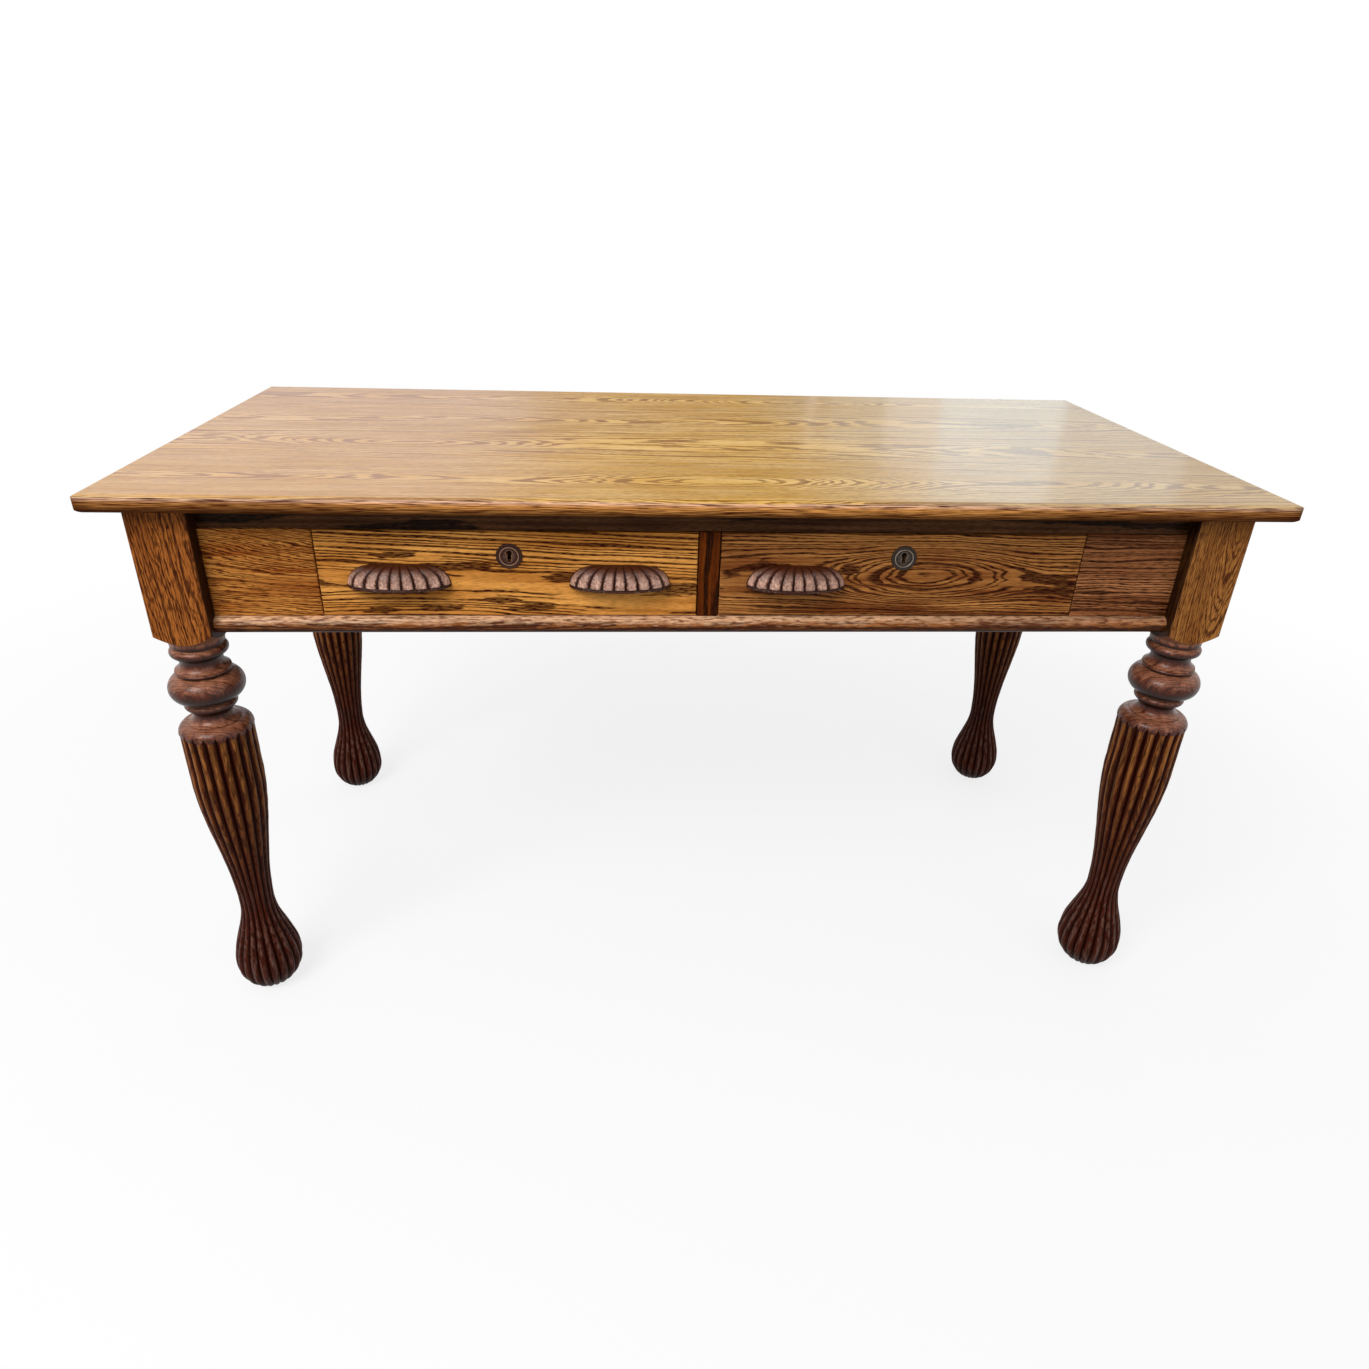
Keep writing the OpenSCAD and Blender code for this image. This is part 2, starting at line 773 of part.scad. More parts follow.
module runner(x, width) {
    color(pine) {
        translate([x - width / 2, rail_back_y, rail_bottom])
            cube([width, apron_inner_y - rail_back_y, bottom_rail_height]);
        stub_tenon(x, width, rail_back_y, runner_z);
    }
}

module kicker(x, width) {
    color(pine) {
        translate([x - width / 2, rail_inner_y, opening_top])
            cube([width, apron_inner_y - rail_inner_y, kicker_thickness]);
        stub_tenon(x, width, rail_inner_y, kicker_z);
    }
}

// A guide stands on its runner, outside the drawer or between the two
module guide(x_low, x_high) {
    guide_front = front_y + panel_thickness;
    color(pine) translate([x_low, guide_front, opening_bottom])
        cube([x_high - x_low, apron_inner_y - guide_front, guide_height]);
}

guide_outer_x = opening_outer_x + runner_width / 2;

module drawer_stops() {
    color(pine) for (end = [LEFT, RIGHT], side = [-1, 1])
        translate([end * drawer_x + side * stop_offset - stop_length / 2, front_back_y + run_gap, opening_bottom])
            cube([stop_length, stop_depth, stop_height]);
}

// Where the buttons stand: on the two side aprons and on the back apron
module button_places() {
    for (end = [LEFT, RIGHT]) {
        for (y = [-side_button_y, side_button_y])
            translate([end * apron_inner_x, y, 0]) rotate([0, 0, end > 0 ? 90 : -90]) children();
        translate([end * back_button_x, apron_inner_y, 0]) rotate([0, 0, 180]) children();
    }
}

module button_tongues(gap = 0) {
    tongue_drop = button_thickness - button_tongue;
    button_places()
        block([0, -button_tongue_length / 2, button_bottom + button_tongue / 2],
              [button_length, button_tongue_length, button_tongue], gap);
    // The tongue lies low on the button, so that it pulls the top down
    assert(tongue_drop > 0);
}

module top_buttons() {
    color(oak) difference() {
        union() {
            button_places() translate([-button_length / 2, 0, button_bottom])
                cube([button_length, button_depth, button_thickness]);
            button_tongues();
        }
        top_screw_places() screw_hole(top_screw_length, screw_radius);
    }
}

// Where the screws that hold the top start
module top_screw_places() {
    button_places() translate([0, button_screw_reach, button_head_z]) children();
    for (end = [LEFT, RIGHT], x = rail_screw_x)
        translate([end * x, top_rail_y + panel_thickness / 2, opening_top + counterbore_depth]) children();
}

module top_screws() {
    color(steel) top_screw_places() screw(top_screw_length, screw_radius);
}

// A rank of dovetails that point along -Y from the plane y = 0, on a side at x from 0
module tails(z_low, z_high, length, thickness, gap = 0) {
    pitch = (z_high - z_low) / dovetail_count;
    root = pitch * 0.56;
    tip = root + 2 * dovetail_slope * length;
    for (i = [0 : dovetail_count - 1]) {
        z = z_low + pitch * (i + 0.5);
        translate([-gap, 0, z]) rotate([90, 0, 90]) linear_extrude(thickness + 2 * gap) polygon([
            [past / 2, -root / 2 - gap],
            [past / 2, root / 2 + gap],
            [0, root / 2 + gap],
            [-length - gap, tip / 2 + gap],
            [-length - gap, -tip / 2 - gap],
            [0, -root / 2 - gap]
        ]);
    }
}

// Dovetails of both drawer sides in the drawer front
module front_tails(side, gap = 0) {
    x = side < 0 ? -drawer_half : drawer_half - side_thickness;
    translate([x, front_back_y, 0]) tails(side_bottom + 2, side_top, tail_reach, side_thickness, gap);
}

// Dovetails of both drawer sides in the drawer back
module back_tails(side, gap = 0) {
    x = side < 0 ? -drawer_half : drawer_half - side_thickness;
    translate([x, back_face_y, 0]) mirror([0, 1, 0])
        tails(back_bottom, back_top, back_thickness, side_thickness, gap);
}

// The drawer bottom, which slides into its grooves from the back
module bottom_board(gap = 0) {
    half = drawer_half - side_thickness + groove_depth;
    y_low = front_back_y - groove_depth;
    translate([-half - gap, y_low - gap, bottom_z - gap])
        cube([2 * (half + gap), drawer_end_y - y_low + 2 * gap, bottom_thickness + 2 * gap]);
}

module drawer_side(end, side) {
    x = side < 0 ? -drawer_half : drawer_half - side_thickness;
    color(pine) translate([end * drawer_x, 0, 0]) difference() {
        union() {
            translate([x, front_back_y, side_bottom])
                cube([side_thickness, back_face_y - front_back_y, side_top - side_bottom]);
            translate([x, back_face_y - past, side_bottom])
                cube([side_thickness, back_thickness + past, back_bottom - joint_gap - side_bottom]);
            front_tails(side);
            back_tails(side);
        }
        bottom_board(joint_gap);
    }
}

module drawer_back(end) {
    color(pine) translate([end * drawer_x, 0, 0]) difference() {
        translate([-drawer_half, back_face_y, back_bottom])
            cube([2 * drawer_half, back_thickness, back_top - back_bottom]);
        back_tails(-1, joint_gap);
        back_tails(1, joint_gap);
        bottom_screw_places() screw_hole(bottom_screw_length, screw_radius);
    }
}

module drawer_bottom(end) {
    color(pine) translate([end * drawer_x, 0, 0]) difference() {
        bottom_board();
        bottom_screw_places() screw_hole(bottom_screw_length, screw_radius);
    }
}

module bottom_screw_places() {
    for (x = [-bottom_screw_spread, 0, bottom_screw_spread])
        translate([x, drawer_end_y - back_thickness / 2, bottom_z]) children();
}

module drawer_bottom_screws(end) {
    color(steel) translate([end * drawer_x, 0, 0])
        bottom_screw_places() screw(bottom_screw_length, screw_radius);
}

// A keyhole: a round part with a slot below it, cut along Y
module keyhole(y_low, y_high) {
    translate([0, y_high, key_z]) rotate([90, 0, 0]) cylinder(h = y_high - y_low, r = key_radius);
    translate([-key_slot / 2, y_low, key_z - key_drop]) cube([key_slot, y_high - y_low, key_drop]);
}

// The pocket in the back of the drawer front that holds the lock case
module lock_pocket() {
    translate([-case_width / 2 - joint_gap, front_back_y - case_depth - joint_gap,
               front_top - case_height - joint_gap])
        cube([case_width + 2 * joint_gap, case_depth + joint_gap + past, case_height + joint_gap + past]);
}

module drawer_front(end) {
    color(oak) translate([end * drawer_x, 0, 0]) difference() {
        translate([-drawer_half, front_y, front_bottom])
            eased_board([2 * drawer_half, front_thickness, front_top - front_bottom]);
        front_tails(-1, joint_gap);
        front_tails(1, joint_gap);
        bottom_board(joint_gap);
        lock_pocket();
        keyhole(front_y - past, front_back_y);
        escutcheon_solid(joint_gap);
        lock_screw_places() screw_hole(lock_screw_length, lock_screw_radius);
        pull_screw_places(end) screw_hole(front_thickness + pull_screw_bite, screw_radius);
    }
}

module lock_case(end) {
    bolt_slot = [bolt_width + 2 * bolt_gap, bolt_thickness + 2 * bolt_gap, case_height];
    color(brass) translate([end * drawer_x, 0, 0]) difference() {
        translate([-case_width / 2, front_back_y - case_depth, front_top - case_height])
            cube([case_width, case_depth, case_height]);
        translate([-cavity_width / 2, bolt_mid_y - bolt_slot.y / 2, cavity_bottom])
            cube([cavity_width, bolt_slot.y, cavity_top - cavity_bottom]);
        translate([-bolt_slot.x / 2, bolt_mid_y - bolt_slot.y / 2, key_z])
            cube([bolt_slot.x, bolt_slot.y, case_height]);
        keyhole(front_back_y - case_depth - past, bolt_mid_y);
        lock_screw_places() screw_hole(lock_screw_length, lock_screw_radius);
    }
}

module lock_bolt(end) {
    color(brass) translate([end * drawer_x, 0, 0]) difference() {
        union() {
            translate([-bolt_width / 2, bolt_mid_y - bolt_thickness / 2, bolt_bottom])
                cube([bolt_width, bolt_thickness, bolt_height]);
            translate([-foot_width / 2, bolt_mid_y - bolt_thickness / 2, bolt_bottom])
                cube([foot_width, bolt_thickness, bolt_foot]);
        }
        translate([0, bolt_mid_y + bolt_thickness, bolt_bottom]) rotate([90, 0, 0])
            cylinder(h = 2 * bolt_thickness, r = talon_radius);
    }
}

module lock_screw_places() {
    for (x = [-lock_screw_x, lock_screw_x], z = lock_screw_rows)
        translate([x, front_back_y, z]) rotate([90, 0, 0]) children();
}

module lock_screws(end) {
    color(brass) translate([end * drawer_x, 0, 0])
        lock_screw_places() screw(lock_screw_length, lock_screw_radius);
}

// Turned escutcheon: a rim and a raised ring round the keyhole, let into the drawer front
module escutcheon_solid(gap = 0) {
    rim = escutcheon_rim;
    inset_radius = escutcheon_radius - 3 * rim / 2;
    translate([0, front_y, key_z - key_drop / 3]) rotate([90, 0, 0]) rotate_extrude() {
        translate([0, -escutcheon_inset - gap])
            square([inset_radius + gap, escutcheon_inset + gap + rim / 2]);
        if (gap == 0) {
            square([escutcheon_radius - rim, rim / 2]);
            translate([escutcheon_radius - rim, 0]) intersection() {
                circle(rim);
                square(rim);
            }
            translate([escutcheon_radius / 2, rim / 2]) intersection() {
                circle(rim);
                translate([-rim, 0]) square([2 * rim, rim]);
            }
        }
    }
}

module escutcheon(end) {
    color(oak_dark) translate([end * drawer_x, 0, 0]) difference() {
        escutcheon_solid();
        keyhole(front_y - 2 * escutcheon_rim, front_y + escutcheon_inset + past);
    }
}

// A point on a half melon's skin at a height over its flat lower side, for a turn round its outline
function melon_point(half, projection, height, z, turn, inset = 0) =
    let (fall = sqrt(1 - pow(z / height, 2)))
    [-(half - inset) * pow(fall, 0.45) * cos(turn), -(projection - inset) * pow(fall, 0.8) * sin(turn), z];

// Turn round the outline after a share of its length, so that the lobes are about equally wide
function outline_turn(share) = let (t = 2 * share - 1) 90 + 90 * (t + (pow(t, 3) - t) / 3);

// The carved wood of a pull on the plane y = 0: a rim, a groove, lobes that fan out from
// the middle of the top, and a hollow for the fingertips below
module pull_body() {
    rim_round = 0.7;
    steps = pull_lobes * pull_points;
    rim_rows = [[0, rim_round], [rim_round, 0], [pull_rim - rim_round / 2, 0], [pull_rim, pull_rim_groove]];
    lobe_rows = concat([pull_rim + rim_round], [for (rise = lobe_rises) pull_height * sin(rise)]);
    outside = concat(
        [for (row = rim_rows, i = [0 : steps])
            melon_point(pull_half, pull_projection, pull_height, row[0], outline_turn(i / steps), row[1])],
        [for (z = lobe_rows, i = [0 : steps])
            let (across = 2 * (i % pull_points) / pull_points - 1,
                 inset = i == 0 || i == steps ? 0 : pull_groove * pow(across, 4))
            melon_point(pull_half, pull_projection, pull_height, z, outline_turn(i / steps), inset)],
        [[0, 0, pull_height]]
    );
    hollow_height = pull_height - pull_wall;
    hollow_rows = [for (rise = hollow_rises) hollow_height * sin(rise)];
    hollow = [
        for (z = hollow_rows, i = [0 : pull_lobes])
            [0, -pull_back_wall, 0] +
            melon_point(pull_half - pull_end_wall, pull_projection - pull_back_wall - pull_wall,
                        hollow_height, z, outline_turn(i / pull_lobes)),
        [0, -pull_back_wall, hollow_height]
    ];
    row = steps + 1;
    rows = len(rim_rows) + len(lobe_rows);
    tip = row * rows;
    inner = len(outside);
    inner_row = pull_lobes + 1;
    inner_rows = len(hollow_rows);
    inner_tip = inner + inner_row * inner_rows;
    skin = [
        for (level = [0 : rows - 2], i = [0 : steps - 1])
            let (low = level * row + i, high = low + row)
            each [[low, high, low + 1], [low + 1, high, high + 1]]
    ];
    cap = [for (i = [0 : steps - 1]) let (low = (rows - 1) * row + i) [low, tip, low + 1]];
    back = [concat([for (level = [0 : rows - 1]) level * row + steps], [tip],
                   [for (level = [rows - 1 : -1 : 0]) level * row])];
    inner_skin = [
        for (level = [0 : inner_rows - 2], i = [0 : pull_lobes - 1])
            let (low = inner + level * inner_row + i, high = low + inner_row)
            each [[low, low + 1, high], [low + 1, high + 1, high]]
    ];
    inner_cap = [
        for (i = [0 : pull_lobes - 1])
            let (low = inner + (inner_rows - 1) * inner_row + i) [low, low + 1, inner_tip]
    ];
    inner_back = [concat([for (level = [0 : inner_rows - 1]) inner + level * inner_row], [inner_tip],
                         [for (level = [inner_rows - 1 : -1 : 0]) inner + level * inner_row + pull_lobes])];
    bottom = [
        for (lobe = [0 : pull_lobes - 1])
            concat([for (i = [0 : pull_points]) lobe * pull_points + i], [inner + lobe + 1, inner + lobe])
    ];
    bottom_back = [[0, inner, inner + pull_lobes, steps]];
    polyhedron(points = concat(outside, hollow),
               faces = concat(skin, cap, back, inner_skin, inner_cap, inner_back, bottom, bottom_back),
               convexity = 4);
}

module pull(end, side) {
    color(oak_dark) translate([end * drawer_x + side * pull_offset, front_y, pull_z]) difference() {
        pull_body();
        for (x = [-pull_screw_x, pull_screw_x])
            translate([x, past, pull_screw_z - pull_z]) rotate([90, 0, 0])
                cylinder(h = pull_screw_bite + past + screw_gap, r = screw_radius + screw_gap);
    }
}

function pull_sides(end) = end == LEFT ? [-1, 1] : [-1];

module pull_screw_places(end) {
    for (side = pull_sides(end), x = [-pull_screw_x, pull_screw_x])
        translate([side * pull_offset + x, front_back_y, pull_screw_z]) rotate([90, 0, 0]) children();
}

module drawer_pull_screws(end) {
    color(steel) translate([end * drawer_x, 0, 0])
        pull_screw_places(end) screw(front_thickness + pull_screw_bite, screw_radius);
}

top_front_board();
top_second_board();
top_third_board();
top_back_board();
leg(LEFT, FRONT);  // front_left_leg
leg(RIGHT, FRONT);  // front_right_leg
leg(LEFT, BACK);  // back_left_leg
leg(RIGHT, BACK);  // back_right_leg
top_rail();
bottom_rail();
end_panel(LEFT);  // left_end_panel
end_panel(RIGHT);  // right_end_panel
centre_stile();
side_apron(LEFT);  // left_apron
side_apron(RIGHT);  // right_apron
back_apron();
runner(-runner_mid_x, runner_width);  // left_runner
runner(0, centre_runner_width);  // centre_runner
runner(runner_mid_x, runner_width);  // right_runner
guide(-guide_outer_x, -opening_outer_x);  // left_guide
guide(-stile_width / 2, stile_width / 2);  // centre_guide
guide(opening_outer_x, guide_outer_x);  // right_guide
kicker(-runner_mid_x, runner_width);  // left_kicker
kicker(0, centre_runner_width);  // centre_kicker
kicker(runner_mid_x, runner_width);  // right_kicker
drawer_stops();
top_buttons();
top_screws();
drawer_front(LEFT);  // left_drawer_front
drawer_side(LEFT, -1);  // left_drawer_left_side
drawer_side(LEFT, 1);  // left_drawer_right_side
drawer_back(LEFT);  // left_drawer_back
drawer_bottom(LEFT);  // left_drawer_bottom
drawer_bottom_screws(LEFT);  // left_drawer_bottom_screws
lock_case(LEFT);  // left_lock_case
lock_bolt(LEFT);  // left_lock_bolt
lock_screws(LEFT);  // left_lock_screws
escutcheon(LEFT);  // left_escutcheon
pull(LEFT, -1);  // left_drawer_left_pull
pull(LEFT, 1);  // left_drawer_right_pull
drawer_pull_screws(LEFT);  // left_drawer_pull_screws
drawer_front(RIGHT);  // right_drawer_front
drawer_side(RIGHT, -1);  // right_drawer_left_side
drawer_side(RIGHT, 1);  // right_drawer_right_side
drawer_back(RIGHT);  // right_drawer_back
drawer_bottom(RIGHT);  // right_drawer_bottom
drawer_bottom_screws(RIGHT);  // right_drawer_bottom_screws
lock_case(RIGHT);  // right_lock_case
lock_bolt(RIGHT);  // right_lock_bolt
lock_screws(RIGHT);  // right_lock_screws
escutcheon(RIGHT);  // right_escutcheon
pull(RIGHT, -1);  // right_drawer_left_pull
drawer_pull_screws(RIGHT);  // right_drawer_pull_screws
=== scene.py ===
import math

import bmesh
import bpy
from mathutils import Matrix, Vector, noise


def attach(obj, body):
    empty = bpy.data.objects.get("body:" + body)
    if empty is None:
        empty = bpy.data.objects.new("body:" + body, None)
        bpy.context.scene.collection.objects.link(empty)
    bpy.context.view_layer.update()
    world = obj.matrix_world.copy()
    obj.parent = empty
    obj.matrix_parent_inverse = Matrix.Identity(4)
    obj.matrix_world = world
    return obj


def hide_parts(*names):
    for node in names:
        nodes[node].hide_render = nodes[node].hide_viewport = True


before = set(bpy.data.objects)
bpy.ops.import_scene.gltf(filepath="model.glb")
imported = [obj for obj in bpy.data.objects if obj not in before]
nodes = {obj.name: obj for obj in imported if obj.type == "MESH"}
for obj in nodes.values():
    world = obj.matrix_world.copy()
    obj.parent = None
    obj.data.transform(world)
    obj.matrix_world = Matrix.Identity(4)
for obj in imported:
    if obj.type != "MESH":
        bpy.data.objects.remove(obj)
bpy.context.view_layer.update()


# The photograph was taken standing in front of the table, a little left of its middle, with the
# camera at chest height and turned down. Its place, turn and lens were worked out from the top's
# corners, the blocks, the feet and the lines of the drawers.
EYE = Vector((-0.11206, -1.36722, 1.06386))
TURN_RIGHT = math.radians(4.576)
TURN_DOWN = math.radians(27.356)
ROLL = math.radians(-1.847)
LENS_MM = 24.557
SENSOR_MM = 36

ahead = Vector((math.sin(TURN_RIGHT) * math.cos(TURN_DOWN),
                math.cos(TURN_RIGHT) * math.cos(TURN_DOWN), -math.sin(TURN_DOWN)))
level_right = Vector((math.cos(TURN_RIGHT), -math.sin(TURN_RIGHT), 0))
level_down = ahead.cross(level_right)
right = math.cos(ROLL) * level_right + math.sin(ROLL) * level_down
down = math.cos(ROLL) * level_down - math.sin(ROLL) * level_right

camera = bpy.data.objects.new("camera", bpy.data.cameras.new("camera"))
camera.data.lens = LENS_MM
camera.data.sensor_width = SENSOR_MM
camera.matrix_world = Matrix.Translation(EYE) @ Matrix((right, -down, -ahead)).transposed().to_4x4()
bpy.context.scene.collection.objects.link(camera)
bpy.context.scene.camera = camera
bpy.context.scene.view_settings.view_transform = "Standard"


# The studio is a pale floor under a pale sky. What the camera sees of them is near white, and
# the light that they give back to the table is softer, so that the dark legs stay dark.
FLOOR_HALF = 9.0
FLOOR_SEEN, FLOOR_GIVES = 0.9, 0.24
GLOW_NEAR, GLOW_FAR = 0.78, 1.0
SHADOW_NEAR, SHADOW_FAR = 0.8, 2.4
WHITE = (1, 1, 1, 1)
SKY_SEEN, SKY_GIVES = 1.0, 0.55


def put(tree, kind, links=None, out=0, **settings):
    """Adds a shader node with its settings and links, and gives the socket that it is read from. An
    input goes by its name or number: Map Range reads 0 between 1 and 2 and gives 3 to 4, and Mix has
    its share at 0, the two colours at 6 and 7, and their mixture at output 2."""
    node = tree.nodes.new("ShaderNode" + kind)
    for name, value in settings.items():
        setattr(node, name, value)
    for place, value in (links or {}).items():
        if isinstance(value, bpy.types.NodeSocket):
            tree.links.new(value, node.inputs[place])
        else:
            node.inputs[place].default_value = value
    return node.outputs[out] if node.outputs else node


def bare_tree(owner):
    """Gives the emptied node tree of a material or world."""
    owner.use_nodes = True
    owner.node_tree.nodes.clear()
    return owner.node_tree


def new_piece(name, points, faces, material, smooth_angle=None):
    """Adds a mesh object, shaded smooth up to an angle in degrees."""
    mesh = bpy.data.meshes.new(name)
    mesh.from_pydata(points, [], faces)
    shell = bmesh.new()
    shell.from_mesh(mesh)
    bmesh.ops.recalc_face_normals(shell, faces=shell.faces)
    shell.to_mesh(mesh)
    shell.free()
    mesh.materials.append(material)
    if smooth_angle is not None:
        mesh.shade_smooth()
        mesh.set_sharp_from_angle(angle=math.radians(smooth_angle))
    piece = bpy.data.objects.new(name, mesh)
    bpy.context.scene.collection.objects.link(piece)
    return piece


# Matt paper gives an even white ground. It glows for the camera, less so near the table, where the
# paper under the glow keeps the table's shadow.
studio_paper = bpy.data.materials.new("white studio paper")
tree = bare_tree(studio_paper)
rays = put(tree, "LightPath").node.outputs
seen = put(tree, "Math", {0: rays["Is Camera Ray"], 1: rays["Is Glossy Ray"]}, operation="MAXIMUM")
paper_tone = put(tree, "MapRange", {0: seen, 3: FLOOR_GIVES, 4: FLOOR_SEEN})
place = put(tree, "TexCoord", out="Object")
from_table = put(tree, "VectorMath", {0: place}, out="Value", operation="LENGTH")
glow_share = put(tree, "MapRange",
                 {0: from_table, 1: SHADOW_NEAR, 2: SHADOW_FAR, 3: GLOW_NEAR, 4: GLOW_FAR},
                 interpolation_type="SMOOTHSTEP")
glow_share = put(tree, "Math", {0: seen, 1: glow_share}, operation="MULTIPLY")
paper = put(tree, "BsdfDiffuse", {"Color": paper_tone})
glow = put(tree, "Emission", {"Color": WHITE, "Strength": 1})
ground = put(tree, "MixShader", {0: glow_share, 1: paper, 2: glow})
put(tree, "OutputMaterial", {"Surface": ground})

floor_corners = [(x * FLOOR_HALF, y * FLOOR_HALF, 0) for x, y in ((-1, -1), (1, -1), (1, 1), (-1, 1))]
floor = new_piece("studio_floor", floor_corners, [(0, 1, 2, 3)], studio_paper)

sky = bpy.data.worlds.new("pale sky")
bpy.context.scene.world = sky
tree = bare_tree(sky)
rays = put(tree, "LightPath").node.outputs
seen = put(tree, "Math", {0: rays["Is Camera Ray"], 1: rays["Is Glossy Ray"]}, operation="MAXIMUM")
seen = put(tree, "Math", {0: seen, 1: rays["Is Transmission Ray"]}, operation="MAXIMUM")
sky_strength = put(tree, "MapRange", {0: seen, 3: SKY_GIVES, 4: SKY_SEEN})
background = put(tree, "Background", {"Color": WHITE, "Strength": sky_strength})
put(tree, "OutputWorld", {"Surface": background})


# Three kinds of soft light: a broad one from the front left, a weak one from the front right, and
# the panes of windows behind the table, which show as pale stretches in the varnish of the top. A
# pane has its middle along the table and its width in metres, its watts and its tint.
PANE_Y, PANE_Z, PANE_HEIGHT = 2.6, 1.45, 1.0
right_panes = ((1.53, 0.54, 2.7, (0.62, 0.86, 1)), (2.1, 0.6, 1.3, (0.62, 0.85, 1)),
               (1.14, 0.24, 0.74, (0.85, 0.92, 0.95)), (0.9, 0.24, 0.3, (0.75, 0.95, 0.8)),
               (0.7, 0.03, 0.09, (1, 1, 1)))
left_panes = ((-1.3, 1.7, 2.2, (0.6, 0.58, 1)), (-1.5, 1.7, 1.7, (0.6, 0.58, 1)))
middle_panes = ((-0.1, 0.9, 0.75, (0.95, 0.65, 0.9)),)


def soft_light(name, place, aim, width, height, watts, tint=(1, 1, 1)):
    """Adds a lamp with a wide face that the camera doesn't see."""
    lamp = bpy.data.lights.new(name, "AREA")
    lamp.shape = "RECTANGLE"
    lamp.size = width
    lamp.size_y = height
    lamp.energy = watts
    lamp.color = tint
    light = bpy.data.objects.new(name, lamp)
    light.location = place
    light.rotation_euler = (Vector(aim) - Vector(place)).to_track_quat("-Z", "Y").to_euler()
    light.visible_camera = False
    bpy.context.scene.collection.objects.link(light)


soft_light("broad light", (-1.7, -2.3, 3.1), (0, 0, 0.6), 2.0, 1.6, 95)
soft_light("fill light", (2.4, -2.8, 1.6), (0, 0, 0.5), 1.6, 1.6, 8)
for pane_x, width, watts, tint in right_panes + left_panes + middle_panes:
    soft_light("window pane", (pane_x, PANE_Y, PANE_Z), (pane_x, 0, PANE_Z), width, PANE_HEIGHT, watts, tint)


# The top is four flat sawn oak boards glued edge to edge, planed, stained and varnished. The varnish
# is glossy and golden in the middle; the pinkish tint at the left and the pale stretch at the right are
# painted reflections of the sky and the windows. Places are in metres, boards in millimetres, and a
# wear is two places and how much of the stain is gone at each.
MM_PER_M = 1000
VARNISH_ROUGHNESS = 0.16
PORE_DEPTH = 0.0003
# Where along the top the painted reflections of the sky (left) and the windows (right) lie, and how strong
# they are.
SKY_REFLECTION_FULL_X, SKY_REFLECTION_GONE_X, SKY_REFLECTION = -0.4, -0.02, 0.3
WINDOW_REFLECTION_START_X, WINDOW_REFLECTION_FULL_X, WINDOW_REFLECTION = 0.05, 0.42, 0.36
WAVY_PER_M, WAVY_REACH = 3.0, 0.3
ARRIS_HIGHLIGHT_LOW_Z, ARRIS_HIGHLIGHT_Z = 0.754, 0.761
STAIN_FULL_Z, STAIN_GONE_Z = 0.7624, 0.7652
EDGE_WEAR_AND_SHADE = (0.745, 0.761, 0.35, 1.3)
END_GRAIN_WEAR = (0.68, 0.7, 1, 0.45)
SITTERS_WEAR = (0.25, 0.5, 2.2, 0.95)
EDGE_SCUFFS_PER_M = (28, 1200, 1800)


def linear(code):
    """Turns an sRGB hex colour into the linear colour that shaders use."""
    parts = [int(code[i:i + 2], 16) / 255 for i in (1, 3, 5)]
    return [p / 12.92 if p <= 0.04045 else ((p + 0.055) / 1.055) ** 2.4 for p in parts] + [1]


